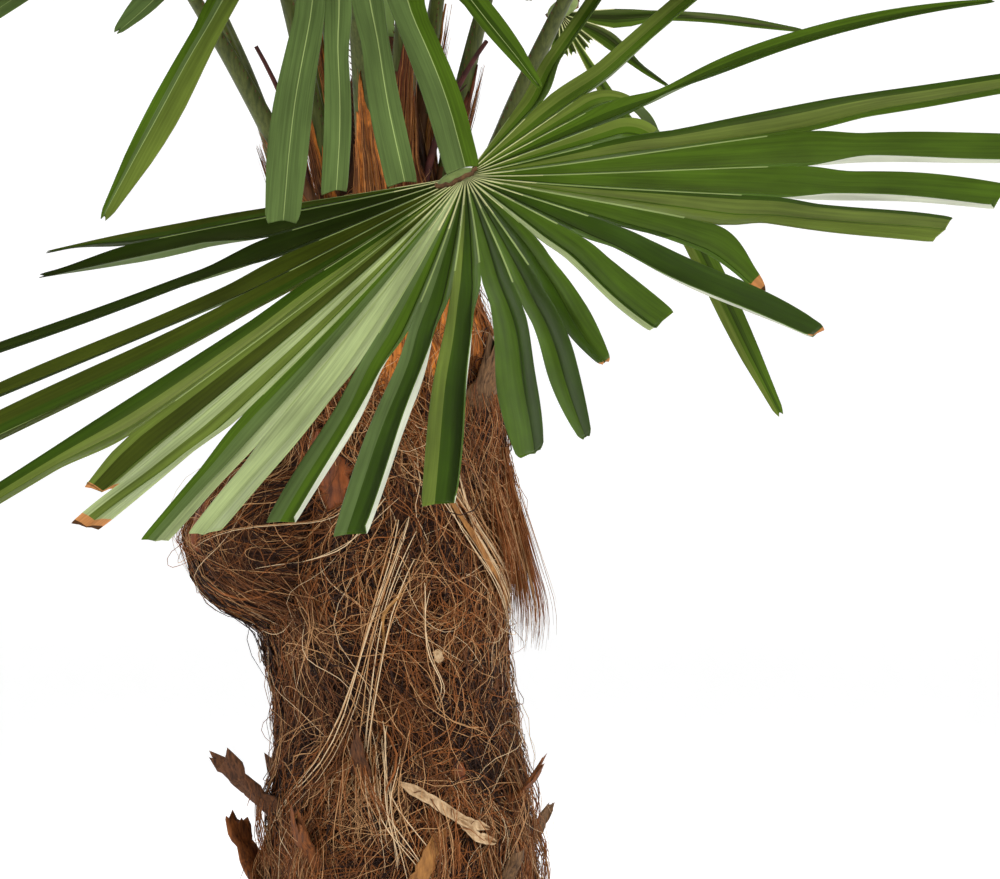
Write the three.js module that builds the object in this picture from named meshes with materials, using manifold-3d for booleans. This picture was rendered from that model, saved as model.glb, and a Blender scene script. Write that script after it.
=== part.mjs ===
// A potted windmill palm: fibre-clad trunk, leaf stalks and pleated fan leaves in a plain nursery pot.
// Millimetres, +Z up. The origin is the middle of the pot's flat underside.

import * as THREE from 'three';
import { mergeVertices } from 'three/addons/utils/BufferGeometryUtils.js';
import Module from 'manifold-3d';

const wasm = await Module();
wasm.setup();

// Gap between two pieces that touch.
const CLEARANCE = 0.3;

// Pot and soil.
const POT_HEIGHT = 340;
const POT_TOP_RADIUS = 205;
const POT_FOOT_RADIUS = 165;
const POT_WALL = 5;
const POT_FLOOR = 8;
const RIM_WIDTH = 12;
const RIM_HEIGHT = 28;
const RIM_ROUNDING = 5;
const SOIL_LEVEL = 305;
const POT_SIDES = 40;

// Trunk: height above the floor, sideways offset of its middle, and radius, fibre included.
const TRUNK_STATIONS = [
  [SOIL_LEVEL, 10, 130], [340, 10, 127], [460, 10, 121], [560, 9, 107], [620, 4, 105],
  [700, -2, 108], [760, -4, 113], [850, -3, 103], [925, -2, 95], [960, -2, 84],
  [1000, -2, 68], [1080, -4, 46], [1150, -6, 30], [1200, -8, 18],
];
const TRUNK_TOP = 1200;
const TRUNK_RING_STEP = 36;
const TRUNK_SIDES = 26;
const TRUNK_ROUGHNESS = 2;
const TRUNK_SMOOTH_TOP = 200;

// The bulge of matted fibre on one side of the trunk.
const BULGE_AZIMUTH = 182;
const BULGE_HEIGHT = 764;
const BULGE_DEPTH = 62;
const BULGE_RISE = 78;
const BULGE_SPREAD = 52;

// Leaf stalks and fans.
const GOLDEN_ANGLE = 137.5;
const FIRST_AZIMUTH = 22;
const STALK_STEPS = 9;
const STALK_SIDES = 6;
const STALK_BASE_RADIUS = 14;
const STALK_TIP_RADIUS = 6.5;
const STALK_ROOT_DEPTH = 18;
const HUB_DEPTH = 12;
const HUB_RADIUS = 14;
const HUB_CROWN = 4;
const SPLIT_AT = 0.42;
const WIDEST_AT = 0.72;
const LEAFLET_GAP = 0.88;
const WIDEST_LEAFLET = 36;
const TIP_WIDTH = 0.45;
const SUTURE_THICKNESS = 3;
const RIB_THICKNESS = 4.6;
const PLEAT = 0.17;
const MIDDLE_GATHER = 0.25;
const BROKEN_STUMP = 30;
const CURVE_SCALE = 500;

// Cut leaf bases on the trunk.
const LEAF_BASE_FIRST_AZIMUTH = 180;
const LEAF_BASE_ROWS = [
  { count: 3, first: 17, height: 340, step: 32 },
  { count: 12, first: 0, height: 436, step: 10 },
  { count: 4, first: 21, height: 842, step: 16 },
];
const LEAF_BASE_LENGTH = 74;
const LEAF_BASE_WIDTH = 20;
const LEAF_BASE_STEPS = 4;
const LEAF_BASE_ROOT_DEPTH = 24;
const LEAF_BASE_CURL = 9;
const LEAF_BASE_SIZE_SEED = 282;
const LEAF_BASE_LIFT_SEED = 57;
const LEAF_BASE_TURN_SEED = 43;

const radians = THREE.MathUtils.degToRad;
const mix = THREE.MathUtils.lerp;

// A repeatable number from -1 to 1 for each seed and index.
function wander(seed, index) {
  const wave = Math.sin(seed * 127.1 + index * 311.7) * 43758.5453;
  return 2 * (wave - Math.floor(wave)) - 1;
}

function direction(azimuth, elevation) {
  const flat = Math.cos(radians(elevation));
  return new THREE.Vector3(
    flat * Math.cos(radians(azimuth)),
    flat * Math.sin(radians(azimuth)),
    Math.sin(radians(elevation)),
  );
}

function material(colour, roughness) {
  return new THREE.MeshStandardMaterial({ color: colour, roughness, metalness: 0 });
}

function namedMesh(name, geometry, finish) {
  const mesh = new THREE.Mesh(geometry, finish);
  mesh.name = name;
  return mesh;
}

// Closed skin over a row of rings with the same number of points, with a flat fan at each end.
function loft(rings) {
  const sides = rings[0].length;
  const points = rings.flat();
  const faces = [];
  for (let row = 0; row + 1 < rings.length; row += 1) {
    for (let side = 0; side < sides; side += 1) {
      const next = (side + 1) % sides;
      const a = row * sides + side;
      const b = row * sides + next;
      faces.push(a, b, b + sides, a, b + sides, a + sides);
    }
  }
  const last = (rings.length - 1) * sides;
  for (let side = 1; side + 1 < sides; side += 1) {
    faces.push(0, side + 1, side);
    faces.push(last, last + side, last + side + 1);
  }
  return geometryFrom(points, faces);
}

function geometryFrom(points, faces) {
  const geometry = new THREE.BufferGeometry();
  geometry.setAttribute('position', new THREE.Float32BufferAttribute(points.flatMap((p) => p.toArray()), 3));
  geometry.setIndex(faces);
  return geometry;
}

// Tapering limb along a row of points; radiusAt gives its half width and half thickness at 0 to 1.
function limb(points, radiusAt, sides, endNormal = null) {
  const curve = new THREE.CatmullRomCurve3(points);
  const steps = points.length - 1;
  const frames = curve.computeFrenetFrames(steps, false);
  const rings = points.map((point, step) => {
    const share = step / steps;
    const [halfWidth, halfThickness] = radiusAt(share);
    const tangent = step === steps && endNormal ? endNormal : curve.getTangent(share);
    const across = new THREE.Vector3(-tangent.y, tangent.x, 0);
    if (across.length() < 0.05) across.copy(frames.normals[0]);
    across.normalize();
    const along = new THREE.Vector3().crossVectors(tangent, across).normalize();
    return Array.from({ length: sides }, (_, side) => {
      const turn = (side / sides) * Math.PI * 2;
      return point.clone()
        .addScaledVector(across, Math.cos(turn) * halfWidth)
        .addScaledVector(along, Math.sin(turn) * halfThickness);
    });
  });
  return loft(rings);
}

function toSolid(geometry) {
  const bare = geometry.clone();
  bare.deleteAttribute('normal');
  bare.deleteAttribute('uv');
  const merged = mergeVertices(bare, 1e-4);
  return new wasm.Manifold(new wasm.Mesh({
    numProp: 3,
    vertProperties: new Float32Array(merged.attributes.position.array),
    triVerts: new Uint32Array(merged.index.array),
  }));
}

function fromSolid(solid) {
  const mesh = solid.getMesh();
  const geometry = new THREE.BufferGeometry();
  geometry.setAttribute('position', new THREE.BufferAttribute(Float32Array.from(mesh.vertProperties), 3));
  geometry.setIndex(Array.from(mesh.triVerts));
  return geometry;
}

// Pot: a turned wall and floor with a rolled rim.
function potGeometry() {
  const rimFoot = POT_HEIGHT - RIM_HEIGHT;
  const rimRadius = POT_TOP_RADIUS + RIM_WIDTH;
  const profile = [
    [0, 0], [POT_FOOT_RADIUS - RIM_ROUNDING, 0], [POT_FOOT_RADIUS, RIM_ROUNDING], [POT_TOP_RADIUS, rimFoot],
    [rimRadius, rimFoot], [rimRadius, POT_HEIGHT - RIM_ROUNDING], [rimRadius - RIM_ROUNDING, POT_HEIGHT],
    [POT_TOP_RADIUS, POT_HEIGHT], [POT_TOP_RADIUS - POT_WALL, POT_HEIGHT - RIM_ROUNDING],
    [POT_FOOT_RADIUS - POT_WALL, POT_FLOOR], [0, POT_FLOOR],
  ];
  return new THREE.LatheGeometry(profile.map(([r, z]) => new THREE.Vector2(r, z)), POT_SIDES)
    .rotateX(Math.PI / 2);
}

// Soil: fills the pot to just below its rim, clear of the wall.
function soilGeometry() {
  const inner = (z) => mix(
    POT_FOOT_RADIUS - POT_WALL,
    POT_TOP_RADIUS - POT_WALL,
    (z - POT_FLOOR) / (POT_HEIGHT - RIM_ROUNDING - POT_FLOOR),
  ) - CLEARANCE;
  const floor = POT_FLOOR + CLEARANCE;
  const profile = [[0, floor], [inner(floor), floor], [inner(SOIL_LEVEL), SOIL_LEVEL], [0, SOIL_LEVEL]];
  return new THREE.LatheGeometry(profile.map(([r, z]) => new THREE.Vector2(r, z)), POT_SIDES)
    .rotateX(Math.PI / 2);
}

function trunkStation(height) {
  const above = TRUNK_STATIONS.findIndex(([z]) => z >= height);
  const upper = TRUNK_STATIONS[above < 0 ? TRUNK_STATIONS.length - 1 : Math.max(above, 1)];
  const lower = TRUNK_STATIONS[TRUNK_STATIONS.indexOf(upper) - 1];
  const share = THREE.MathUtils.clamp((height - lower[0]) / (upper[0] - lower[0]), 0, 1);
  return { middle: mix(lower[1], upper[1], share), radius: mix(lower[2], upper[2], share) };
}

// Distance from the trunk's middle to its fibre surface.
function trunkReach(height, azimuth) {
  const { radius } = trunkStation(height);
  const side = THREE.MathUtils.euclideanModulo(azimuth - BULGE_AZIMUTH + 180, 360) - 180;
  const fromMiddle = ((height - BULGE_HEIGHT) / BULGE_RISE) ** 2 + (side / BULGE_SPREAD) ** 2;
  const bulge = fromMiddle < 1 ? BULGE_DEPTH * Math.sqrt(1 - fromMiddle) : 0;
  const calm = THREE.MathUtils.clamp((TRUNK_TOP - height) / TRUNK_SMOOTH_TOP, 0, 1);
  const rough = Math.sin(radians(azimuth * 3 + height * 0.9)) + Math.sin(radians(azimuth * 5 - height * 1.7));
  return radius + bulge + rough * calm * TRUNK_ROUGHNESS;
}

function trunkGeometry(swell) {
  const first = SOIL_LEVEL + CLEARANCE;
  const rows = Math.round((TRUNK_TOP - first) / TRUNK_RING_STEP);
  const rings = Array.from({ length: rows + 1 }, (_, row) => {
    const height = mix(first, TRUNK_TOP, row / rows);
    const lift = row === rows ? swell : 0;
    const { middle } = trunkStation(height);
    return Array.from({ length: TRUNK_SIDES }, (__, side) => {
      const azimuth = (side / TRUNK_SIDES) * 360;
      const reach = trunkReach(height, azimuth) + swell * 1.4;
      return direction(azimuth, 0).multiplyScalar(reach).add(new THREE.Vector3(middle, 0, height + lift));
    });
  });
  return loft(rings);
}

// Point on or under the trunk's surface.
function trunkPoint(height, azimuth, depth) {
  const middle = new THREE.Vector3(trunkStation(height).middle, 0, height);
  return middle.addScaledVector(direction(azimuth, 0), trunkReach(height, azimuth) - depth);
}

// Frond that follows the spiral: young ones stand upright and half folded, older ones arch out.
function spiralFrond(order, seed) {
  const age = order / 12;
  const opened = Math.min(1, age * 2.4);
  const grown = Math.min(1, age * 2);
  return {
    azimuth: FIRST_AZIMUTH + GOLDEN_ANGLE * order + 9 * wander(seed, 100),
    height: mix(1075, 945, Math.min(1, age * 1.2)),
    rise: mix(87, 74, age) + 3 * wander(seed, 101),
    sag: mix(8, 38, age) + 5 * wander(seed, 106),
    stalk: mix(330, 500, Math.min(1, age * 1.6)) + 40 * wander(seed, 102),
    pitch: mix(78, -8, age ** 0.8) + 10 * wander(seed, 103),
    yaw: 15 * wander(seed, 104),
    roll: mix(14, 32, grown) * wander(seed, 105),
    leaflets: Math.round(mix(9, 22, opened)),
    spread: mix(70, 225, opened),
    reach: mix(380, 425, grown),
    short: 0.12,
    droop: mix(0.06, 0.2, age),
    cup: mix(0.16, 0.10, age),
    seed,
  };
}

// Older fronds with their own place. By leaflet number, trimmed gives the share of its length that a
// leaflet keeps, eased the share of its droop, and aside the degrees by which it stands off its place.
// The blade is fused up to split, a share of its reach.
const HANGING_FROND = {
  azimuth: -79, height: 950, rise: 39, sag: 46, stalk: 348, pitch: -30, yaw: 5, roll: 28,
  leaflets: 28, spread: 230, reach: 430, short: 0, droop: 0.21, cup: 0.25, seed: 3,
  trimmed: {
    0: 0.95, 1: 0.95, 2: 0.5, 3: 1.08, 4: 0.5, 5: 1.12, 6: 1.12, 7: 1.13, 8: 1.13, 9: 0.82, 10: 1.14,
    11: 0.74, 12: 0.83, 13: 1.04, 14: 1.04, 15: 0.95, 16: 1.04, 17: 0.95, 18: 1.04, 19: 0.95, 21: 0.86,
    24: 0.95, 25: 0.92, 26: 0.75, 27: 0.8,
  },
  eased: { 3: 1.25, 5: 1.1, 7: 0.85, 8: 0.6, 9: 1.6, 10: 0.9 },
  aside: {
    0: -20, 1: -9, 2: -11, 3: -6, 4: -3, 5: 2.9, 6: 3, 7: 4, 8: 2, 9: 1, 12: 3, 13: 2.5,
    15: 3, 16: 4, 17: 5.5, 18: 3.5, 19: 3.5, 20: 2, 25: 1,
  },
};
const DROOPING_FROND = {
  azimuth: -98, height: 1000, rise: 70, sag: 18, stalk: 382, pitch: -52, yaw: -1, roll: 4,
  leaflets: 22, spread: 230, reach: 410, short: 0.1, droop: 0.2, cup: 0.05, seed: 8,
  trimmed: {
    5: 0.5, 6: 0.5, 7: 0.85, 8: 0.99, 9: 0.92, 10: 0.93, 12: 0.5, 14: 0.5, 15: 0.62, 16: 0.5,
    19: 0.5, 20: 0.5, 21: 0.5,
  },
  aside: { 7: -6, 8: -2, 9: -3, 10: -3, 11: -7, 13: -2, 15: -4 },
};
const BROKEN_FROND = {
  azimuth: 51, height: 930, rise: 75, sag: 27, stalk: 358, pitch: -60, yaw: -41, roll: -90,
  leaflets: 9, spread: 104, reach: 430, short: 0, droop: 0.1, cup: 0.05, seed: 12, split: 0.08,
  trimmed: { 0: 0.12, 1: 0.12, 2: 0.12, 3: 0.12, 4: 0.95, 5: 0.12, 6: 0.12, 7: 0.29, 8: 0.54 },
  aside: { 4: 1.5, 7: -6, 8: 7 },
};
const SIDE_FROND = {
  azimuth: 216, height: 1000, rise: 62, sag: 16, stalk: 440, pitch: 0, yaw: 0, roll: -12,
  leaflets: 22, spread: 225, reach: 425, short: 0.1, droop: 0.2, cup: 0.1, seed: 12,
};

// Youngest first.
const FRONDS = [
  spiralFrond(0, 20), spiralFrond(1, 40), spiralFrond(2, 100), spiralFrond(3, 14), spiralFrond(4, 202),
  spiralFrond(5, 155), spiralFrond(6, 37), DROOPING_FROND, BROKEN_FROND, spiralFrond(9, 178),
  spiralFrond(10, 107), spiralFrond(11, 62), SIDE_FROND, HANGING_FROND,
];

// Places of a frond: the stalk's points, the hub, and the blade's forward, side and upward directions.
function frondFrame(frond) {
  const points = [trunkPoint(frond.height, frond.azimuth, STALK_ROOT_DEPTH)];
  for (let step = 0; step < STALK_STEPS; step += 1) {
    const share = (step + 0.5) / STALK_STEPS;
    const heading = direction(frond.azimuth, frond.rise - frond.sag * share);
    points.push(points[step].clone().addScaledVector(heading, frond.stalk / STALK_STEPS));
  }
  const tangent = points[STALK_STEPS].clone().sub(points[STALK_STEPS - 1]).normalize();
  const forward = direction(frond.azimuth + frond.yaw, frond.pitch);
  const level = direction(frond.azimuth + frond.yaw, frond.pitch + 90);
  const levelSide = new THREE.Vector3().crossVectors(forward, level);
  const up = level.multiplyScalar(Math.cos(radians(frond.roll)))
    .addScaledVector(levelSide, Math.sin(radians(frond.roll)));
  const side = new THREE.Vector3().crossVectors(forward, up);
  const seat = tangent.clone().add(up).normalize();
  const hub = points[STALK_STEPS].clone().addScaledVector(seat, HUB_DEPTH + CLEARANCE);
  return { points, hub, forward, side, up, seat };
}

function stalkGeometry(frame, trunkCutter) {
  const width = (share) => mix(STALK_BASE_RADIUS, STALK_TIP_RADIUS, Math.min(1, share * 1.6));
  const section = (share) => [width(share), width(share) * 0.75];
  const geometry = limb(frame.points, section, STALK_SIDES, frame.seat);
  return fromSolid(toSolid(geometry).subtract(trunkCutter));
}

// Angle, length and droop of each leaflet of a frond.
function leafletPlan({ leaflets, spread, reach, short, droop, seed, split = SPLIT_AT, ...own }) {
  return Array.from({ length: leaflets }, (_, index) => {
    const place = -1 + (2 * index) / (leaflets - 1);
    const gathered = place - MIDDLE_GATHER * place * (1 - place * place);
    const grown = reach * (1 - short * place * place) * (1 + 0.05 * wander(seed + 5, index));
    return {
      angle: radians((spread / 2) * gathered + 0.8 * wander(seed, index) + (own.aside?.[index] ?? 0)),
      length: Math.max((own.trimmed?.[index] ?? 1) * grown, split * reach + BROKEN_STUMP),
      droop: (own.eased?.[index] ?? 1) * droop * (1 + 0.3 * wander(seed + 9, index)),
    };
  });
}

// Fan blade: pleated and fused near the hub, split into separate leaflets further out.
function fanGeometry(frond, frame) {
  const leaflets = leafletPlan(frond);
  const count = leaflets.length;
  const { hub, forward, side, up, seat } = frame;
  const points = [];
  const faces = [];
  const add = (point) => points.push(point) - 1;

  const onBlade = (angle, distance, droop) => {
    const heading = forward.clone().multiplyScalar(Math.cos(angle)).addScaledVector(side, Math.sin(angle));
    const level = Math.hypot(heading.x, heading.y);
    const share = distance / CURVE_SCALE;
    return hub.clone().addScaledVector(heading, distance)
      .addScaledVector(up, frond.cup * share ** 2 * CURVE_SCALE)
      .add(new THREE.Vector3(0, 0, -droop * level * share ** 2.5 * CURVE_SCALE));
  };
  const across = (angle) => forward.clone().multiplyScalar(-Math.sin(angle))
    .addScaledVector(side, Math.cos(angle));
  const pair = (point, thickness) => [add(point), add(point.clone().addScaledVector(up, -thickness))];
  const triangle = (a, b, c) => faces.push(a, c, b);
  const quad = (a, b, c, d) => faces.push(a, c, b, a, d, c);

  // Seams between leaflets, with the blade's two margins at the ends.
  const seams = Array.from({ length: count + 1 }, (_, seam) => {
    const before = leaflets[Math.max(seam - 1, 0)];
    const after = leaflets[Math.min(seam, count - 1)];
    const step = leaflets[1].angle - leaflets[0].angle;
    const outward = seam === 0 ? -step / 2 : seam === count ? step / 2 : 0;
    return { angle: (before.angle + after.angle) / 2 + outward, droop: (before.droop + after.droop) / 2 };
  });
  const splitAt = (frond.split ?? SPLIT_AT) * frond.reach;
  const seamRing = seams.map((seam) => pair(onBlade(seam.angle, HUB_RADIUS, 0), SUTURE_THICKNESS));
  const seamSplit = seams.map((seam) => pair(onBlade(seam.angle, splitAt, seam.droop), SUTURE_THICKNESS));
  const crownPoint = add(hub.clone().addScaledVector(up, HUB_CROWN));
  const seatPoint = add(hub.clone().addScaledVector(seat, -HUB_DEPTH));

  leaflets.forEach((leaflet, index) => {
    const spacing = seams[index + 1].angle - seams[index].angle;
    const ribAt = (distance, depth) => pair(
      onBlade(leaflet.angle, distance, leaflet.droop).addScaledVector(up, -depth), RIB_THICKNESS);
    const ringRib = ribAt(HUB_RADIUS, PLEAT * spacing * HUB_RADIUS);
    const splitRib = ribAt(splitAt, PLEAT * spacing * splitAt);

    const middle = Math.max(WIDEST_AT * leaflet.length, mix(splitAt, leaflet.length, 0.5));
    const halfWidth = Math.min(LEAFLET_GAP * spacing * middle, WIDEST_LEAFLET) / 2;
    const tipHalf = halfWidth * TIP_WIDTH;
    const sideways = across(leaflet.angle);
    const edge = (distance, half) => add(
      onBlade(leaflet.angle, distance, leaflet.droop).addScaledVector(sideways, half));
    const middleRib = ribAt(middle, PLEAT * halfWidth * 2);
    const middleEdges = [edge(middle, -halfWidth), edge(middle, halfWidth)];
    const tipRib = ribAt(leaflet.length, PLEAT * tipHalf);
    const tipEdges = [edge(leaflet.length, -tipHalf), edge(leaflet.length, tipHalf)];

    const [leftRing, rightRing] = [seamRing[index], seamRing[index + 1]];
    const [leftSplit, rightSplit] = [seamSplit[index], seamSplit[index + 1]];
    triangle(crownPoint, leftRing[0], ringRib[0]);
    triangle(crownPoint, ringRib[0], rightRing[0]);
    triangle(seatPoint, ringRib[1], leftRing[1]);
    triangle(seatPoint, rightRing[1], ringRib[1]);
    quad(leftRing[0], leftSplit[0], splitRib[0], ringRib[0]);
    quad(ringRib[0], splitRib[0], rightSplit[0], rightRing[0]);
    quad(leftRing[1], ringRib[1], splitRib[1], leftSplit[1]);
    quad(ringRib[1], rightRing[1], rightSplit[1], splitRib[1]);
    quad(leftSplit[0], middleEdges[0], middleRib[0], splitRib[0]);
    quad(splitRib[0], middleRib[0], middleEdges[1], rightSplit[0]);
    quad(leftSplit[1], splitRib[1], middleRib[1], middleEdges[0]);
    quad(splitRib[1], rightSplit[1], middleEdges[1], middleRib[1]);
    triangle(leftSplit[0], leftSplit[1], middleEdges[0]);
    triangle(rightSplit[0], middleEdges[1], rightSplit[1]);
    quad(middleEdges[0], tipEdges[0], tipRib[0], middleRib[0]);
    quad(middleRib[0], tipRib[0], tipEdges[1], middleEdges[1]);
    quad(middleEdges[0], middleRib[1], tipRib[1], tipEdges[0]);
    quad(middleRib[1], middleEdges[1], tipEdges[1], tipRib[1]);
    triangle(tipEdges[0], tipRib[1], tipRib[0]);
    triangle(tipRib[0], tipRib[1], tipEdges[1]);
  });

  // Walls of the two outer margins, from the hub to the first split.
  const [firstRing, lastRing] = [seamRing[0], seamRing[count]];
  const [firstSplit, lastSplit] = [seamSplit[0], seamSplit[count]];
  quad(crownPoint, seatPoint, firstRing[1], firstRing[0]);
  quad(firstRing[0], firstRing[1], firstSplit[1], firstSplit[0]);
  quad(crownPoint, lastRing[0], lastRing[1], seatPoint);
  quad(lastRing[0], lastSplit[0], lastSplit[1], lastRing[1]);
  return geometryFrom(points, faces);
}

// Spear: the newest leaf, still folded tight, standing on the growing tip.
function spearGeometry() {
  const foot = TRUNK_TOP + CLEARANCE;
  const { middle } = trunkStation(TRUNK_TOP);
  const heights = [0, 60, 200, 340, 420];
  const widths = [14, 12, 11, 9, 2];
  const points = heights.map((z) => new THREE.Vector3(middle + z * 0.03, -z * 0.02, foot + z));
  return loft(points.map((point, row) => Array.from({ length: 8 }, (_, side) => {
    const width = side % 2 ? widths[row] : widths[row] * 0.75;
    return direction(side * 45, 0).multiplyScalar(width).add(point);
  })));
}

// Cut leaf base: a flattened, upturned horn left where an old stalk was sawn off.
function leafBaseGeometry(index, height, azimuth, trunkCutter) {
  const size = 1 + 0.25 * wander(LEAF_BASE_SIZE_SEED, index);
  const lift = 36 + 12 * wander(LEAF_BASE_LIFT_SEED, index);
  const turned = azimuth + 8 * wander(LEAF_BASE_TURN_SEED, index);
  const points = [trunkPoint(height, azimuth, LEAF_BASE_ROOT_DEPTH)];
  const stride = (LEAF_BASE_LENGTH * size) / LEAF_BASE_STEPS;
  for (let step = 0; step < LEAF_BASE_STEPS; step += 1) {
    const heading = direction(turned, lift + step * LEAF_BASE_CURL);
    points.push(points[step].clone().addScaledVector(heading, stride));
  }
  const halfWidth = (share) => LEAF_BASE_WIDTH * size * mix(1, 0.5, share);
  const geometry = limb(points, (share) => [halfWidth(share), halfWidth(share) * mix(0.5, 0.28, share)], 8);
  return fromSolid(toSolid(geometry).subtract(trunkCutter));
}

// Lock of loose fibre that hangs clear of the trunk.
function fibreLockGeometry({ height, azimuth, out, fall }, trunkCutter) {
  const start = trunkPoint(height, azimuth, 12);
  const outward = direction(azimuth, 0);
  const points = Array.from({ length: 7 }, (_, step) => {
    const share = step / 6;
    return start.clone()
      .addScaledVector(outward, 14 + out * share ** 1.2)
      .add(new THREE.Vector3(0, 0, -fall * share ** 1.1));
  });
  points.unshift(start.clone().addScaledVector(outward, -6));
  const geometry = limb(points, (share) => [mix(12, 3, share), mix(7, 2, share)], 6);
  return fromSolid(toSolid(geometry).subtract(trunkCutter));
}
const FIBRE_LOCKS = [
  { height: 840, azimuth: -6, out: 38, fall: 170 },
  { height: 815, azimuth: -24, out: 24, fall: 95 },
  { height: 850, azimuth: 75, out: 26, fall: 120 },
  { height: 700, azimuth: 130, out: 18, fall: 90 },
];

// Thin, dry old flower stalk that stands up beside the leaf stalks.
function flowerStalkGeometry({ height, azimuth, rise, bend, length }, trunkCutter) {
  const steps = 6;
  const points = [trunkPoint(height, azimuth, 8)];
  for (let step = 0; step < steps; step += 1) {
    const heading = direction(azimuth, rise - (bend * step) / steps);
    points.push(points[step].clone().addScaledVector(heading, length / steps));
  }
  const geometry = limb(points, (share) => [mix(4, 2, share), mix(4, 2, share)], 5);
  return fromSolid(toSolid(geometry).subtract(trunkCutter));
}
const FLOWER_STALKS = [
  { height: 1060, azimuth: -40, rise: 76, bend: 34, length: 150 },
  { height: 1010, azimuth: 196, rise: 84, bend: 26, length: 190 },
  { height: 1070, azimuth: 100, rise: 80, bend: 30, length: 170 },
];

const palm = new THREE.Group();
const number = (index) => String(index + 1).padStart(2, '0');
const trunkCutter = toSolid(trunkGeometry(CLEARANCE));

palm.add(namedMesh('pot', potGeometry(), material(0x3a3c3e, 0.75)));
palm.add(namedMesh('potting_soil', soilGeometry(), material(0x2e2118, 0.98)));
palm.add(namedMesh('trunk', trunkGeometry(0), material(0x6f4a2f, 0.95)));
palm.add(namedMesh('spear_leaf', spearGeometry(), material(0x7f9a4a, 0.6)));

FRONDS.forEach((frond, index) => {
  const frame = frondFrame(frond);
  const name = `frond_${number(index)}`;
  palm.add(namedMesh(`${name}_stalk`, stalkGeometry(frame, trunkCutter), material(0x6b7a3c, 0.55)));
  palm.add(namedMesh(`${name}_fan`, fanGeometry(frond, frame), material(0x4c7a35, 0.5)));
});

let leafBases = 0;
LEAF_BASE_ROWS.forEach(({ count, first, height, step }) => {
  for (let index = 0; index < count; index += 1) {
    const azimuth = LEAF_BASE_FIRST_AZIMUTH + GOLDEN_ANGLE * (first + index);
    const geometry = leafBaseGeometry(first + index, height + index * step, azimuth, trunkCutter);
    palm.add(namedMesh(`leaf_base_${number(leafBases)}`, geometry, material(0x7a4a28, 0.9)));
    leafBases += 1;
  }
});

FIBRE_LOCKS.forEach((lock, index) => {
  const geometry = fibreLockGeometry(lock, trunkCutter);
  palm.add(namedMesh(`fibre_lock_${number(index)}`, geometry, material(0x9a6a40, 0.95)));
});
FLOWER_STALKS.forEach((stalk, index) => {
  const geometry = flowerStalkGeometry(stalk, trunkCutter);
  palm.add(namedMesh(`flower_stalk_${number(index)}`, geometry, material(0x5a3a34, 0.85)));
});

export default palm;
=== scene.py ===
# A potted windmill palm in full detail: pot, soil, fibre-clad trunk, leaf stalks and pleated fans.

import math

import bmesh
import bpy
import numpy as np
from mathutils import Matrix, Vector, noise


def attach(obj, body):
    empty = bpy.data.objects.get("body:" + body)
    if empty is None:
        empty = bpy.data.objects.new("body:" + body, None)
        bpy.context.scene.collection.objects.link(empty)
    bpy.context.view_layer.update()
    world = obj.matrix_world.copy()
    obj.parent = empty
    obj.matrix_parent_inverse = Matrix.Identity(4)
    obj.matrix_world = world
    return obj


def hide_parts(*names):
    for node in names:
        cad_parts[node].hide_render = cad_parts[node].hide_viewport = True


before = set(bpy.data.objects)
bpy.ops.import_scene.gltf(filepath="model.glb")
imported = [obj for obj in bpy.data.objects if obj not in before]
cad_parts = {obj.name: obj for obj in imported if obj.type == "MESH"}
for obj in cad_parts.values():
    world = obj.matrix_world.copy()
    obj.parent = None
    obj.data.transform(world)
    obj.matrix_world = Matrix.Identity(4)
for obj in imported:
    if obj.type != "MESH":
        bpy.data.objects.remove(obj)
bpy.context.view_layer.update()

# Camera
# The plant is seen level with the foot of its crown, from three metres away through a long lens.
camera_distance = 3.0
camera_height = 0.8468
camera_right = 0.0986
camera_lens = 122.7
camera_data = bpy.data.cameras.new("studio_camera")
camera_data.lens = camera_lens
camera_data.sensor_width = 36.0
camera = bpy.data.objects.new("studio_camera", camera_data)
camera.location = (camera_right, -camera_distance, camera_height)
camera.rotation_euler = (math.radians(90), 0, 0)
bpy.context.collection.objects.link(camera)
bpy.context.scene.camera = camera
bpy.context.scene.view_settings.view_transform = "Standard"

# Studio floor
# A pale floor whose edge sweeps up all round, so that no corner shows behind the plant.
def set_inputs(node, **values):
    """Sets a node's inputs; an underscore stands for a space in an input's name."""
    for socket, value in values.items():
        node.inputs[socket.replace("_", " ")].default_value = value
    return node


def bm_mesh(name, bm):
    """A smooth mesh with its faces turned outwards, from a bmesh that is then freed."""
    bmesh.ops.recalc_face_normals(bm, faces=bm.faces[:])
    for face in bm.faces:
        face.smooth = True
    mesh = bpy.data.meshes.new(name)
    bm.to_mesh(mesh)
    bm.free()
    return mesh


def turned_mesh(name, profile, steps):
    """A profile of radius and height, spun round the upright axis."""
    bm = bmesh.new()
    verts = [bm.verts.new((radius, 0, height)) for radius, height in profile]
    for first, second in zip(verts, verts[1:]):
        bm.edges.new((first, second))
    bmesh.ops.spin(bm, geom=bm.verts[:] + bm.edges[:], axis=(0, 0, 1), cent=(0, 0, 0),
                   angle=math.radians(360), steps=steps, use_merge=True)
    bmesh.ops.remove_doubles(bm, verts=bm.verts[:], dist=0.00001)
    return bm_mesh(name, bm)


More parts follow.
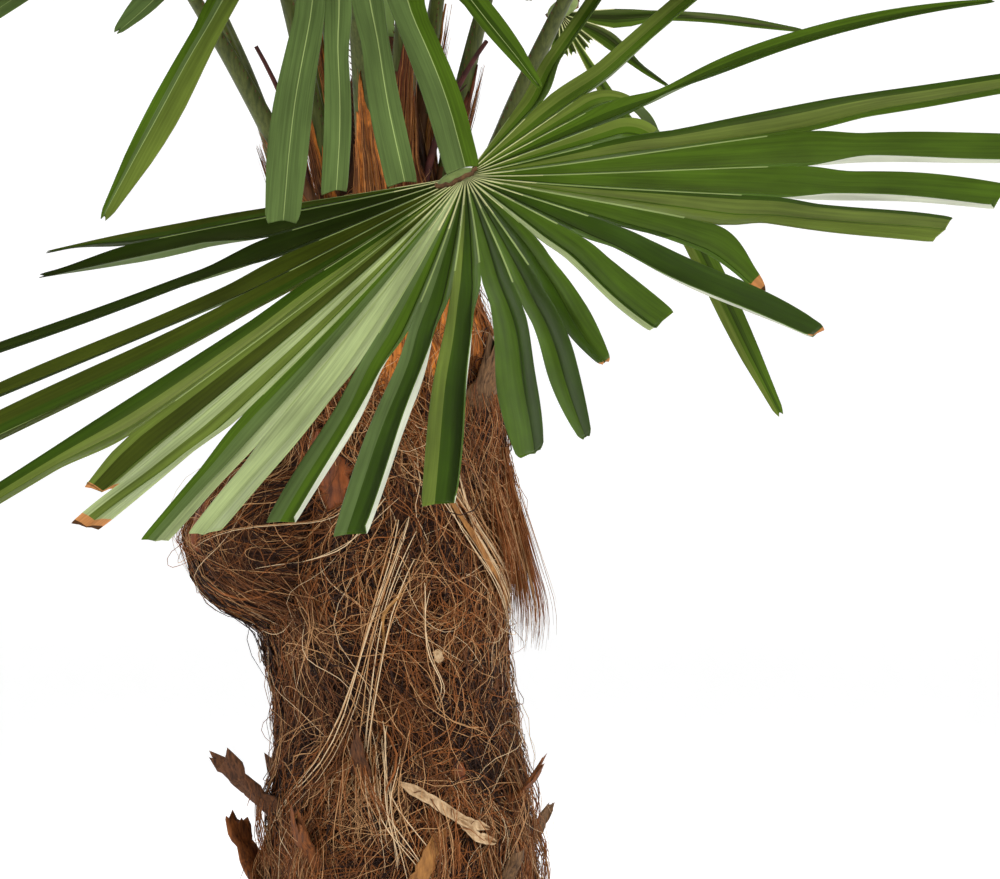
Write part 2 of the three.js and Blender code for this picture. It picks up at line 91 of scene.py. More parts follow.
floor_radius = 18.0
sweep_radius = 5.0
sweep_steps = 8
wall_height = 18.0
floor_sides = 96
floor_white = (0.92, 0.92, 0.92, 1)
floor_glow = (1, 1, 1, 1)
floor_profile = [(0.0, 0.0), (floor_radius, 0.0)]
for step in range(1, sweep_steps + 1):
    turn = math.radians(90 * step / sweep_steps)
    floor_profile.append((floor_radius + sweep_radius * math.sin(turn), sweep_radius * (1 - math.cos(turn))))
floor_profile.append((floor_radius + sweep_radius, wall_height))
floor_mesh = turned_mesh("studio_floor", floor_profile, floor_sides)
floor = bpy.data.objects.new("studio_floor", floor_mesh)
bpy.context.collection.objects.link(floor)
floor_finish = bpy.data.materials.new("pale_floor")
floor_finish.use_nodes = True
set_inputs(floor_finish.node_tree.nodes["Principled BSDF"], Base_Color=floor_white, Roughness=0.9,
           Specular_IOR_Level=0.1, Emission_Color=floor_glow, Emission_Strength=0.30)
floor_mesh.materials.append(floor_finish)

# Studio light
# A large soft lamp from the upper right, a weaker one from the left, one from behind, and an even pale sky.
sky = bpy.data.worlds.new("studio_sky")
sky.use_nodes = True
set_inputs(sky.node_tree.nodes["Background"], Color=(1, 1, 1, 1), Strength=0.50)
bpy.context.scene.world = sky
lamp_aim = Vector((0, 0, 0.9))
lamps = [
    # name, place, size and power
    ("key_lamp", (2.6, -2.8, 3.9), 1.3, 135.0),
    ("side_lamp", (-3.4, -1.4, 2.4), 2.0, 42.0),
    ("back_lamp", (-0.4, 3.6, 3.4), 2.5, 70.0),
]
for lamp_name, lamp_place, lamp_size, lamp_power in lamps:
    lamp_data = bpy.data.lights.new(lamp_name, "AREA")
    lamp_data.size = lamp_size
    lamp_data.energy = lamp_power
    lamp = bpy.data.objects.new(lamp_name, lamp_data)
    lamp.location = lamp_place
    lamp.rotation_euler = (lamp_aim - Vector(lamp_place)).to_track_quat("-Z", "Y").to_euler()
    bpy.context.collection.objects.link(lamp)


# Pot
# A plain round nursery pot, moulded in one piece from matt charcoal plastic.
# Its wall is thin, its rim is rolled outwards, and a shallow ring under the rim stiffens it.
def place_piece(name, mesh, finishes, nodes=()):
    piece = bpy.data.objects.new(name, mesh)
    bpy.context.collection.objects.link(piece)
    for finish in finishes:
        mesh.materials.append(finish)
    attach(piece, "root")
    if nodes:
        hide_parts(*nodes)
    return piece


def rounded(profile, reach=0.003):
    """A turned profile with each inner corner cut back into a short curve."""
    soft = [profile[0]]
    for before, corner, after in zip(profile, profile[1:], profile[2:]):
        before, corner, after = Vector(before), Vector(corner), Vector(after)
        cut = min(reach, 0.4 * (before - corner).length, 0.4 * (after - corner).length)
        start = corner + (before - corner).normalized() * cut
        end = corner + (after - corner).normalized() * cut
        for share in (0, 0.33, 0.67, 1):
            soft.append(start.lerp(corner, share).lerp(corner.lerp(end, share), share))
    return [tuple(point) for point in soft] + [profile[-1]]


def wire(tree, *wires):
    """Links in a node tree, each given as node, output, node and input."""
    for source, output, target, socket in wires:
        tree.links.new(source.outputs[output], target.inputs[socket])


def mottle_group():
    """Two tones dealt over a surface by soft noise, with a bump to match."""
    group = bpy.data.node_groups.new("mottle", "ShaderNodeTree")
    for socket, kind in (("Light", "Color"), ("Dark", "Color"), ("Vector", "Vector"), ("Scale", "Float"),
                         ("Relief", "Float")):
        group.interface.new_socket(socket, in_out="INPUT", socket_type=f"NodeSocket{kind}")
    for socket, kind in (("Color", "Color"), ("Normal", "Vector")):
        group.interface.new_socket(socket, in_out="OUTPUT", socket_type=f"NodeSocket{kind}")
    nodes = group.nodes
    inward = nodes.new("NodeGroupInput")
    outward = nodes.new("NodeGroupOutput")
    grain = set_inputs(nodes.new("ShaderNodeTexNoise"), Detail=6.0, Roughness=0.62)
    spread = set_inputs(nodes.new("ShaderNodeMapRange"), From_Min=0.32, From_Max=0.68)
    mixer = nodes.new("ShaderNodeMix")
    mixer.data_type = "RGBA"
    bump = set_inputs(nodes.new("ShaderNodeBump"), Strength=0.6)
    height = nodes.new("ShaderNodeMath")
    height.operation = "MULTIPLY"
    wire(group, (inward, "Vector", grain, "Vector"), (inward, "Scale", grain, "Scale"),
         (grain, "Fac", spread, "Value"), (spread, "Result", mixer, "Factor"),
         (inward, "Dark", mixer, "A"), (inward, "Light", mixer, "B"), (mixer, "Result", outward, "Color"),
         (grain, "Fac", height, 0), (inward, "Relief", height, 1), (height, "Value", bump, "Height"),
         (bump, "Normal", outward, "Normal"))
    return group


mottle = mottle_group()


def mottled_finish(name, light, dark, scale, relief, roughness, stretch=(1, 1, 1)):
    """Natural matt surface in two close tones, with relief in metres."""
    finish = bpy.data.materials.new(name)
    finish.use_nodes = True
    nodes = finish.node_tree.nodes
    shader = set_inputs(nodes["Principled BSDF"], Roughness=roughness, Specular_IOR_Level=0.2)
    place = nodes.new("ShaderNodeTexCoord")
    mapping = set_inputs(nodes.new("ShaderNodeMapping"), Scale=stretch)
    tones = nodes.new("ShaderNodeGroup")
    tones.node_tree = mottle
    set_inputs(tones, Light=(*light, 1), Dark=(*dark, 1), Scale=scale, Relief=relief)
    wire(finish.node_tree, (place, "Object", mapping, "Vector"), (mapping, "Vector", tones, "Vector"),
         (tones, "Color", shader, "Base Color"), (tones, "Normal", shader, "Normal"))
    return finish


pot_height = 0.340
pot_top_radius = 0.205
pot_foot_radius = 0.165
pot_wall = 0.005
pot_floor = 0.008
rim_radius = pot_top_radius + 0.012
rim_foot = pot_height - 0.028
ring_height = rim_foot - 0.030
ring_radius = pot_foot_radius + (pot_top_radius - pot_foot_radius) * ring_height / rim_foot
pot_foot = [(0, 0.003), (pot_foot_radius - 0.022, 0.003), (pot_foot_radius - 0.020, 0),
            (pot_foot_radius - 0.005, 0), (pot_foot_radius, 0.005)]
pot_ring = [(ring_radius - 0.0005, ring_height - 0.004), (ring_radius + 0.0015, ring_height),
            (ring_radius + 0.0005, ring_height + 0.006)]
pot_rim = [(pot_top_radius, rim_foot), (rim_radius - 0.003, rim_foot), (rim_radius, rim_foot + 0.003),
           (rim_radius, pot_height - 0.005), (rim_radius - 0.005, pot_height), (pot_top_radius, pot_height)]
pot_inside = [(pot_top_radius - pot_wall, pot_height - 0.005), (pot_foot_radius - pot_wall, pot_floor),
              (0, pot_floor)]
pot_profile = rounded(pot_foot + pot_ring + pot_rim + pot_inside)
charcoal_light = (0.052, 0.054, 0.057)
charcoal_dark = (0.036, 0.037, 0.040)
charcoal = mottled_finish("charcoal_plastic", charcoal_light, charcoal_dark, 900, 0.00008, 0.55)
place_piece("pot_shell", turned_mesh("pot_shell", pot_profile, 128), [charcoal], ["pot"])


# Potting soil
# Dark peat and bark fills the pot to just below its rim, with loose crumbs on top.
# It is packed round the foot of the trunk, which stands in it.
def joined_mesh(name, points, faces, face_tones=None):
    """One mesh from arrays: points (n, 3) and faces (m, corners), with a finish number for each face."""
    mesh = bpy.data.meshes.new(name)
    mesh.vertices.add(len(points))
    mesh.vertices.foreach_set("co", np.ascontiguousarray(points, dtype=np.float32).ravel())
    mesh.loops.add(faces.size)
    mesh.loops.foreach_set("vertex_index", np.ascontiguousarray(faces, dtype=np.int32).ravel())
    mesh.polygons.add(len(faces))
    mesh.polygons.foreach_set("loop_start", np.arange(0, faces.size, faces.shape[1], dtype=np.int32))
    mesh.polygons.foreach_set("use_smooth", np.ones(len(faces), dtype=bool))
    if face_tones is not None:
        mesh.polygons.foreach_set("material_index", np.ascontiguousarray(face_tones, dtype=np.int32))
    mesh.update(calc_edges=True)
    return mesh


soil_level = 0.305
soil_gap = 0.0003
soil_radius = pot_top_radius - pot_wall - 0.0062
soil_profile = [(0, pot_floor + soil_gap), (pot_foot_radius - pot_wall - 0.001, pot_floor + soil_gap)]
soil_profile += [(soil_radius, soil_level)]
soil_profile += [(soil_radius * (1 - step / 40), soil_level) for step in range(1, 41)]
soil_mesh = turned_mesh("soil_bed", soil_profile, 160)
for vert in soil_mesh.vertices:
    if vert.co.z > soil_level - 0.001:
        edge_calm = min(1, max(0, (soil_radius - Vector(vert.co[:2]).length) / 0.01))
        clods = noise.fractal(vert.co * 90, 0.8, 2.1, 4)
        vert.co.z += 0.0045 * clods * edge_calm - 0.002
dark_soil = mottled_finish("dark_soil", (0.05, 0.028, 0.016), (0.012, 0.007, 0.004), 260, 0.003, 0.95)
place_piece("soil_bed", soil_mesh, [dark_soil], ["potting_soil"])

crumb_bm = bmesh.new()
bmesh.ops.create_icosphere(crumb_bm, subdivisions=1, radius=1.0)
crumb_bm.verts.ensure_lookup_table()
crumb_points = np.array([vert.co for vert in crumb_bm.verts])
crumb_faces = np.array([[vert.index for vert in face.verts] for face in crumb_bm.faces])
crumb_bm.free()
crumb_count = 900
smallest_crumb, largest_crumb = 0.0012, 0.0048
soil_rng = np.random.default_rng(4)
crumb_size = soil_rng.uniform(smallest_crumb, largest_crumb, (crumb_count, 1, 1))
crumb_size = crumb_size * soil_rng.uniform(0.5, 1.2, (crumb_count, 1, 3))
crumb_turn = soil_rng.uniform(0, 2 * math.pi, crumb_count)
crumb_reach = np.sqrt(soil_rng.uniform(0.42, 0.95, crumb_count)) * soil_radius
crumb_place = np.stack([crumb_reach * np.cos(crumb_turn), crumb_reach * np.sin(crumb_turn),
                        np.full(crumb_count, soil_level)], axis=1)
crumb_dents = soil_rng.normal(0, 0.0003, (crumb_count, len(crumb_points), 3))
crumb_all = crumb_points * crumb_size + crumb_dents + crumb_place[:, None]
crumb_index = crumb_faces[None] + (np.arange(crumb_count) * len(crumb_points))[:, None, None]
crumb_tones = np.repeat(soil_rng.integers(0, 3, crumb_count), len(crumb_faces))
bark_crumb = mottled_finish("bark_crumb", (0.11, 0.055, 0.028), (0.045, 0.022, 0.012), 300, 0.001, 0.9)
peat_crumb = mottled_finish("peat_crumb", (0.032, 0.018, 0.011), (0.014, 0.008, 0.005), 300, 0.001, 0.95)
crumb_mesh = joined_mesh("soil_crumbs", crumb_all.reshape(-1, 3), crumb_index.reshape(-1, 3), crumb_tones)
place_piece("soil_crumbs", crumb_mesh, [peat_crumb, bark_crumb, dark_soil])

# Trunk
# The stem is hidden in matted brown fibre, the remains of the old leaf sheaths.
# It swells at the foot, draws in at the waist and carries a lobe of fibre on one side.
trunk_stations = np.array([
    # height, middle and radius
    (0.305, 0.010, 0.130), (0.340, 0.010, 0.127), (0.460, 0.010, 0.121), (0.560, 0.009, 0.107),
    (0.620, 0.004, 0.105), (0.700, -0.002, 0.108), (0.760, -0.004, 0.113), (0.850, -0.003, 0.103),
    (0.925, -0.002, 0.095), (0.960, -0.002, 0.084), (1.000, -0.002, 0.068), (1.080, -0.004, 0.046),
    (1.150, -0.006, 0.030), (1.200, -0.008, 0.018),
])
trunk_top = 1.200
bulge_azimuth = 182.0
bulge_height = 0.764
bulge_depth = 0.062
bulge_rise = 0.078
bulge_spread = 52.0
trunk_roughness = 0.002


def trunk_middle(height):
    return np.interp(height, trunk_stations[:, 0], trunk_stations[:, 1])


def trunk_reach(height, azimuth):
    """Distance from the trunk's middle to the outside of its fibre, for numbers or arrays."""
    radius = np.interp(height, trunk_stations[:, 0], trunk_stations[:, 2])
    side = np.mod(azimuth - bulge_azimuth + 180, 360) - 180
    from_middle = ((height - bulge_height) / bulge_rise) ** 2 + (side / bulge_spread) ** 2
    bulge = bulge_depth * np.sqrt(np.maximum(0, 1 - from_middle))
    calm = np.clip((trunk_top - height) / 0.2, 0, 1)
    rough = np.sin(np.radians(azimuth * 3 + height * 900)) + np.sin(np.radians(azimuth * 5 - height * 1700))
    return radius + bulge + rough * calm * trunk_roughness


def on_trunk(height, azimuth, lift):
    """Points above the trunk's surface by lift; below it where lift is negative."""
    reach = trunk_reach(height, azimuth) + lift
    turn = np.radians(azimuth)
    middle = trunk_middle(height)
    return np.stack([middle + reach * np.cos(turn), reach * np.sin(turn), height + 0 * reach], axis=-1)


def hollows(height, azimuth):
    """Shallow hollows and swells of the matted fibre, as a lift from its mean surface."""
    turn = np.radians(azimuth)
    swell = np.sin(4 * turn + 3 * np.sin(height * 31)) * np.sin(height * 52 + 3 * turn)
    calm = np.clip((trunk_top - height) / 0.3, 0, 1)
    return (0.002 * swell - 0.007 * np.maximum(0, swell - 0.2)) * calm


mat_depth = 0.006
trunk_rows = 190
trunk_sides = 200
trunk_foot = soil_level + 0.001
trunk_step = (trunk_top - trunk_foot) / trunk_rows
trunk_profile = [(0.1, trunk_foot + trunk_step * row) for row in range(trunk_rows + 1)]
trunk_mesh = turned_mesh("trunk_core", trunk_profile, trunk_sides)
for vert in trunk_mesh.vertices:
    azimuth = math.degrees(math.atan2(vert.co.y, vert.co.x))
    ridges = noise.fractal(Vector((azimuth * 0.14, vert.co.z * 14, 0.0)), 0.7, 2.0, 5)
    pits = noise.fractal(vert.co * 60, 0.6, 2.0, 3)
    near_top = min(1.0, max(0.25, (trunk_top - vert.co.z) / 0.2))
    sunk = (0.0055 * ridges + 0.003 * pits - mat_depth) * near_top
    vert.co = on_trunk(vert.co.z, azimuth, sunk + hollows(vert.co.z, azimuth))
trunk_bm = bmesh.new()
trunk_bm.from_mesh(trunk_mesh)
bmesh.ops.holes_fill(trunk_bm, edges=[edge for edge in trunk_bm.edges if edge.is_boundary], sides=0)
bmesh.ops.recalc_face_normals(trunk_bm, faces=trunk_bm.faces[:])
trunk_bm.to_mesh(trunk_mesh)
trunk_bm.free()
dark_bark = mottled_finish("dark_mat", (0.075, 0.028, 0.012), (0.016, 0.007, 0.004), 90, 0.004, 0.92,
                           (1, 1, 0.35))
place_piece("trunk_core", trunk_mesh, [dark_bark], ["trunk"])


# Fibre mat
# Layer on layer of stiff brown hairs wraps the trunk: dark underneath, rust and tan on top.
# The hairs run down and across in wisps that share one curve, as they split from one sheath.
def strand_mesh(name, paths, radii, tones, flatness=1.0):
    """Thin three-sided hairs along paths (count, steps, 3), joined into one mesh."""
    count, steps, _ = paths.shape
    tangent = np.gradient(paths, axis=1)
    tangent /= np.linalg.norm(tangent, axis=2, keepdims=True)
    outward = paths - np.stack([trunk_middle(paths[..., 2]), 0 * paths[..., 2], paths[..., 2]], axis=-1)
    across = np.cross(tangent, outward)
    across /= np.maximum(np.linalg.norm(across, axis=2, keepdims=True), 1e-9)
    second = np.cross(tangent, across)
    corners = np.radians([90, 210, 330])
    ring = (np.cos(corners)[:, None] * across[:, :, None]
            + np.sin(corners)[:, None] * second[:, :, None] * flatness)
    points = paths[:, :, None] + ring * radii[:, :, None, None]
    base = (np.arange(count) * steps * 3)[:, None, None] + (np.arange(steps - 1) * 3)[None, :, None]
    side = np.arange(3)[None, None]
    after = (side + 1) % 3
    walls = np.stack([base + side, base + after, base + after + 3, base + side + 3], axis=-1).reshape(-1, 4)
    triangles = np.concatenate([walls[:, [0, 1, 2]], walls[:, [0, 2, 3]]])
    wall_tones = np.tile(np.repeat(tones, (steps - 1) * 3), 2)
    first = (np.arange(count) * steps * 3)[:, None] + np.array([0, 2, 1])[None]
    last = (np.arange(count) * steps * 3 + (steps - 1) * 3)[:, None] + np.array([0, 1, 2])[None]
    faces = np.concatenate([triangles, first, last])
    face_tones = np.concatenate([wall_tones, tones, tones])
    return joined_mesh(name, points.reshape(-1, 3), faces, face_tones)


def mat_wisps(rng, count, clump, steps, length, lift, curl_spread):
    """Paths of hairs that lie on the trunk in wisps of a few alike: down, across and curling."""
    wisps = count // clump
    height = rng.uniform(fibre_low, fibre_top, wisps)
    azimuth = rng.uniform(0, 360, wisps)
    heading = rng.normal(0, 22, wisps) + 34 * np.sin(np.radians(azimuth * 2 + height * 1500))
    heading = np.where(rng.uniform(0, 1, wisps) < 0.11, rng.uniform(60, 120, wisps), heading)
    curl = rng.normal(0, curl_spread, wisps)
    reach = rng.uniform(0.5, 1.4, wisps) * length

    def share(values, spread):
        return np.repeat(values, clump) + rng.normal(0, spread, wisps * clump)

    height, azimuth, heading = share(height, 0.007), share(azimuth, 4.0), share(heading, 11)
    curl, reach = share(curl, 28), share(reach, 0.2 * length)
    arch = rng.gamma(1.6, 0.5, len(height)) * lift
    depth = rng.uniform(-mat_depth, 0.0015, len(height))
    wave = rng.uniform(4, 11, len(height))
    phase = rng.uniform(0, 6, len(height))
    paths = []
    stride = reach / (steps - 1)
    for step in range(steps):
        along = step / (steps - 1)
        lift_here = depth + hollows(height, azimuth) + arch * np.sin(math.pi * along) ** 1.5
        paths.append(on_trunk(height, azimuth, lift_here))
        turn = np.radians(heading + 0.7 * curl * (along - 0.3) + 28 * np.sin(wave * along + phase))
        radius = np.maximum(trunk_reach(height, azimuth), 0.03)
        azimuth = azimuth + np.degrees(np.sin(turn) * stride / radius)
        height = np.clip(height - np.cos(turn) * stride, soil_level + 0.002, 1.16)
    return np.stack(paths, axis=1)


def hair_radii(rng, count, steps, thickness):
    taper = 1 - 0.75 * np.abs(np.linspace(-0.6, 1, steps)) ** 3
    return rng.uniform(0.6, 1.3, (count, 1)) * thickness * taper[None]


def fibre_finish(name, colour, shade):
    """Stiff dry hair: one plain tone with a little mottling along the plant."""
    return mottled_finish(name, colour, tuple(channel * shade for channel in colour), 120, 0.0, 0.7)


fibre_low = soil_level + 0.005
fibre_top = 1.05
fibre_black = fibre_finish("fibre_black_brown", (0.030, 0.011, 0.006), 0.5)
fibre_brown = fibre_finish("fibre_brown", (0.165, 0.060, 0.021), 0.6)
fibre_rust = fibre_finish("fibre_rust", (0.320, 0.105, 0.027), 0.6)
fibre_tan = fibre_finish("fibre_tan", (0.560, 0.300, 0.130), 0.7)
fibre_pale = fibre_finish("fibre_pale", (0.760, 0.540, 0.320), 0.8)
fibre_gold = fibre_finish("fibre_gold", (0.430, 0.210, 0.060), 0.6)
fibre_layers = [
    # name, hairs, hairs in a wisp, steps, length, lift, spread of curl and thickness
    ("fibre_under", 6200, 16, 6, 0.070, 0.0015, 50, 0.00070),
    ("fibre_middle", 4900, 9, 7, 0.080, 0.003, 80, 0.00046),
    ("fibre_upper", 4900, 7, 7, 0.080, 0.004, 90, 0.00036),
    ("fibre_outer", 3900, 5, 8, 0.095, 0.005, 90, 0.00031),
    ("fibre_stray", 1900, 2, 11, 0.130, 0.007, 150, 0.00027),
    ("fibre_ribbons", 120, 2, 9, 0.100, 0.004, 40, 0.00160),
]
layer_tones = dict(
    fibre_under=[fibre_black, fibre_black, fibre_brown],
    fibre_middle=[fibre_black, fibre_brown, fibre_rust],
    fibre_upper=[fibre_black, fibre_brown, fibre_rust, fibre_tan],
    fibre_outer=[fibre_brown, fibre_rust, fibre_tan],
    fibre_stray=[fibre_rust, fibre_tan, fibre_tan, fibre_pale],
    fibre_ribbons=[fibre_brown, fibre_rust, fibre_gold],
)
for layer, (name, hairs, clump, steps, length, lift, curl_spread, thickness) in enumerate(fibre_layers):
    fibre_rng = np.random.default_rng(20 + layer)
    tones = layer_tones[name]
    paths = mat_wisps(fibre_rng, hairs, clump, steps, length, lift, curl_spread)
    radii = hair_radii(fibre_rng, len(paths), steps, thickness)
    first = paths[::clump, 0]
    patch = np.sin(first[:, 0] * 38 + 3 * np.sin(first[:, 2] * 23))
    patch = patch + np.sin(first[:, 2] * 41 + first[:, 1] * 30)
    depth_of_tone = 0.5 + 0.2 * patch + fibre_rng.normal(0, 0.22, len(patch))
    wisp_tones = np.clip((depth_of_tone * len(tones)).astype(int), 0, len(tones) - 1)
    flatness = 0.3 if name == "fibre_ribbons" else 1.0
    mat = strand_mesh(name, paths, radii, np.repeat(wisp_tones, clump), flatness)
    place_piece(name, mat, tones)


# Leading locks
# A few long pale locks lie over the mat where a sheath has split, each a bundle of near hairs.
# They are rooted in the mat at their upper ends and lie loose below.
def guided_hairs(rng, guide, hairs, spread, steps=14):
    """Hairs beside one guide, given as rows of height, azimuth and lift."""
    guide = np.array(guide)
    at = np.linspace(0, len(guide) - 1, steps)
    smooth = [np.interp(at, np.arange(len(guide)), guide[:, column]) for column in range(3)]
    for _ in range(2):
        smooth = [np.convolve(np.pad(line, 1, mode="edge"), [0.25, 0.5, 0.25], "valid") for line in smooth]
    width = 0.45 + 0.55 * np.abs(np.linspace(-1, 1, steps)) ** 1.5
    sway = rng.normal(0, spread, (hairs, 2, 1)) * width
    sway = sway + 0.0014 * np.sin(np.linspace(0, 9, steps) + rng.uniform(0, 6, (hairs, 2, 1)))
    slide = rng.uniform(-0.015, 0.015, (hairs, 1))
    height = smooth[0] + sway[:, 0] * 0.5 + slide
    azimuth = smooth[1] + np.degrees(sway[:, 1] / 0.11)
    lift = smooth[2] + rng.uniform(-0.001, 0.002, (hairs, 1))
    return on_trunk(height, azimuth, lift)


def place_hairs(name, paths, rng, thickness, finishes):
    """Loose hairs as one piece, each with its own thickness and one of the finishes."""
    radii = hair_radii(rng, len(paths), paths.shape[1], thickness)
    tones = rng.integers(0, len(finishes), len(paths))
    place_piece(name, strand_mesh(name, paths, radii, tones), finishes)


lock_rng = np.random.default_rng(60)
lock_guides = [
    # rows of height, azimuth and lift, then hairs and spread
    ([(0.770, -80, 0.001), (0.744, -83, 0.004), (0.668, -97, 0.008), (0.600, -110, 0.007),
      (0.548, -128, 0.004), (0.512, -158, 0.001)], 6, 0.003),
    ([(0.760, -76, 0.001), (0.700, -88, 0.005), (0.630, -98, 0.008), (0.560, -106, 0.004),
      (0.500, -96, 0.001)], 6, 0.006),
    ([(0.720, -70, 0.001), (0.690, -72, 0.005), (0.655, -71, 0.006), (0.630, -64, 0.004),
      (0.610, -70, 0.001)], 3, 0.002),
    ([(0.815, -64, 0.001), (0.780, -52, 0.004), (0.735, -34, 0.006), (0.690, -12, 0.004)], 12, 0.005),
    ([(0.820, -52, 0.001), (0.770, -44, 0.004), (0.725, -26, 0.006), (0.700, -8, 0.005)], 8, 0.006),
    ([(0.600, -88, 0.001), (0.560, -92, 0.005), (0.520, -90, 0.005), (0.470, -84, 0.001)], 7, 0.009),
    ([(0.590, -100, 0.001), (0.540, -98, 0.005), (0.500, -82, 0.005), (0.465, -72, 0.001)], 4, 0.005),
    ([(0.790, -95, 0.001), (0.765, -112, 0.005), (0.758, -140, 0.004), (0.735, -165, 0.001)], 2, 0.007),
    ([(0.800, -84, 0.001), (0.760, -100, 0.005), (0.745, -120, 0.005), (0.735, -138, 0.001)], 2, 0.004),
    ([(0.780, 60, 0.001), (0.720, 72, 0.005), (0.650, 78, 0.005), (0.580, 70, 0.001)], 9, 0.006),
    ([(0.690, 140, 0.001), (0.640, 128, 0.004), (0.580, 122, 0.005), (0.520, 130, 0.001)], 9, 0.006),
    ([(0.740, 20, 0.001), (0.680, 32, 0.005), (0.600, 28, 0.005), (0.540, 40, 0.001)], 7, 0.006),
]
lock_thickness = 0.00044
lock_paths = np.concatenate([guided_hairs(lock_rng, guide, hairs, spread)
                             for guide, hairs, spread in lock_guides])
place_hairs("fibre_pale_locks", lock_paths, lock_rng, lock_thickness,
            [fibre_tan, fibre_pale, fibre_pale])


# Dried strips
# Torn ribbons and plates of old leaf sheath lie on the mat, smooth, a little curled and paler.
# The mat's hairs hold them, and their edges have dried ragged.
def wander(seed, index):
    """A repeatable number from -1 to 1 for each seed and index."""
    wave = math.sin(seed * 127.1 + index * 311.7) * 43758.5453
    return 2 * (wave - math.floor(wave)) - 1


def give_wall(piece, thickness, offset):
    """Thickens a sheet: outwards at 1, inwards at -1 and both ways at 0."""
    wall = piece.modifiers.new("wall", "SOLIDIFY")
    wall.thickness = thickness
    wall.offset = offset
    return wall


def lying_strip(name, guide, half_width, curl, seed):
    """A ragged strip on the trunk along rows of height, azimuth and lift."""
    guide = np.array(guide, dtype=float)
    rows, columns = 17, 7
    at = np.linspace(0, len(guide) - 1, rows)
    height, azimuth, lift = (np.interp(at, np.arange(len(guide)), guide[:, column]) for column in range(3))
    reach = trunk_reach(height, azimuth)
    down, along = np.gradient(height), np.gradient(np.radians(azimuth)) * reach
    stride = np.hypot(down, along)
    taper = np.clip(np.minimum(at, at[-1] - at) * 2.2 + 0.15, 0, 1)
    points = np.zeros((rows, columns, 3))
    for column in range(columns):
        across = 2 * column / (columns - 1) - 1
        ragged = np.array([1 + 0.22 * wander(seed + column // 6, row) for row in range(rows)])
        shift = across * half_width * taper * ragged
        ripple = 0.0008 * np.sin(at * 5 + across * 3 + seed)
        points[:, column] = on_trunk(height + along / stride * shift,
                                     azimuth - np.degrees(down / stride * shift / reach),
                                     lift + curl * across ** 2 + ripple)
    index = np.arange(rows * columns).reshape(rows, columns)
    quads = np.stack([index[:-1, :-1], index[1:, :-1], index[1:, 1:], index[:-1, 1:]], axis=-1)
    return joined_mesh(name, points.reshape(-1, 3), quads.reshape(-1, 4))


strip_grain = (1, 1, 0.2)
strip_pale = mottled_finish("strip_pale", (0.640, 0.460, 0.270), (0.330, 0.190, 0.090), 240, 0.001, 0.6,
                            strip_grain)
strip_gold = mottled_finish("strip_gold", (0.420, 0.190, 0.050), (0.170, 0.068, 0.020), 240, 0.001, 0.6,
                            strip_grain)
plate_orange = mottled_finish("plate_orange", (0.270, 0.070, 0.016), (0.070, 0.020, 0.007), 200, 0.001, 0.5,
                              strip_grain)
strips = [
    # rows of height, azimuth and lift, half width, curl and finish
    ([(0.556, -88, 0.001), (0.540, -73, 0.004), (0.522, -60, 0.005), (0.514, -46, 0.001)],
     0.0040, 0.003, strip_pale),
    ([(0.524, -62, 0.004), (0.508, -54, 0.006), (0.502, -44, 0.002)], 0.0036, 0.003, strip_pale),
    ([(0.516, -68, 0.002), (0.494, -76, 0.006), (0.473, -81, 0.006), (0.450, -84, 0.002)],
     0.0065, 0.002, strip_gold),
    ([(0.812, -64, 0.003), (0.778, -52, 0.005), (0.735, -35, 0.006), (0.700, -16, 0.003)],
     0.0022, 0.001, strip_gold),
    ([(0.835, -109, 0.001), (0.809, -111, 0.006), (0.786, -113, 0.001)], 0.0140, -0.003, plate_orange),
    ([(0.856, -121, 0.001), (0.834, -119, 0.004), (0.812, -118, 0.000)], 0.0110, -0.003, plate_orange),
    ([(0.795, -160, 0.000), (0.772, -162, 0.002), (0.748, -158, 0.000)], 0.0100, -0.003, plate_orange),
    ([(0.574, -60, 0.000), (0.562, -58, 0.003), (0.550, -55, 0.000)], 0.0055, -0.002, plate_orange),
    ([(0.668, -66, 0.001), (0.663, -66, 0.004), (0.657, -65, 0.001)], 0.0036, 0.001, strip_pale),
    ([(0.700, 60, 0.002), (0.660, 64, 0.006), (0.620, 60, 0.002)], 0.0080, 0.002, strip_gold),
    ([(0.620, 150, 0.002), (0.590, 146, 0.006), (0.560, 150, 0.002)], 0.0090, -0.003, plate_orange),
    ([(0.480, 20, 0.002), (0.460, 26, 0.006), (0.430, 24, 0.002)], 0.0080, 0.002, strip_gold),
    ([(0.430, -110, 0.002), (0.410, -104, 0.006), (0.380, -106, 0.002)], 0.0090, -0.002, plate_orange),
]
strip_thickness = 0.0008
for number, (guide, half_width, curl, finish) in enumerate(strips, start=1):
    name = f"dried_strip_{number:02d}"
    strip = place_piece(name, lying_strip(name, guide, half_width, curl, number), [finish])
    give_wall(strip, strip_thickness, -1)


# Leaf bases
# Where an old leaf was sawn off, its flattened base stays as a dry, upturned horn.
# The cut end is ragged and hollow, and the edges fray into fibre.
def direction(azimuth, elevation):
    flat = math.cos(math.radians(elevation))
    return np.array([flat * math.cos(math.radians(azimuth)), flat * math.sin(math.radians(azimuth)),
                     math.sin(math.radians(elevation))])


def grow_limb(bm, rings):
    """Extrudes one capped ring through every ring of points that follows, and returns the last cap."""
    ring = bmesh.ops.create_circle(bm, cap_ends=True, segments=len(rings[0]), radius=0.01)["verts"]
    for vert, place in zip(ring, rings[0]):
        vert.co = place
    face = ring[0].link_faces[0]
    for places in rings[1:]:
        face = bmesh.ops.extrude_discrete_faces(bm, faces=[face])["faces"][0]
        for vert, place in zip(face.verts, places):
            vert.co = place
    bmesh.ops.holes_fill(bm, edges=[edge for edge in bm.edges if edge.is_boundary], sides=0)
    return face


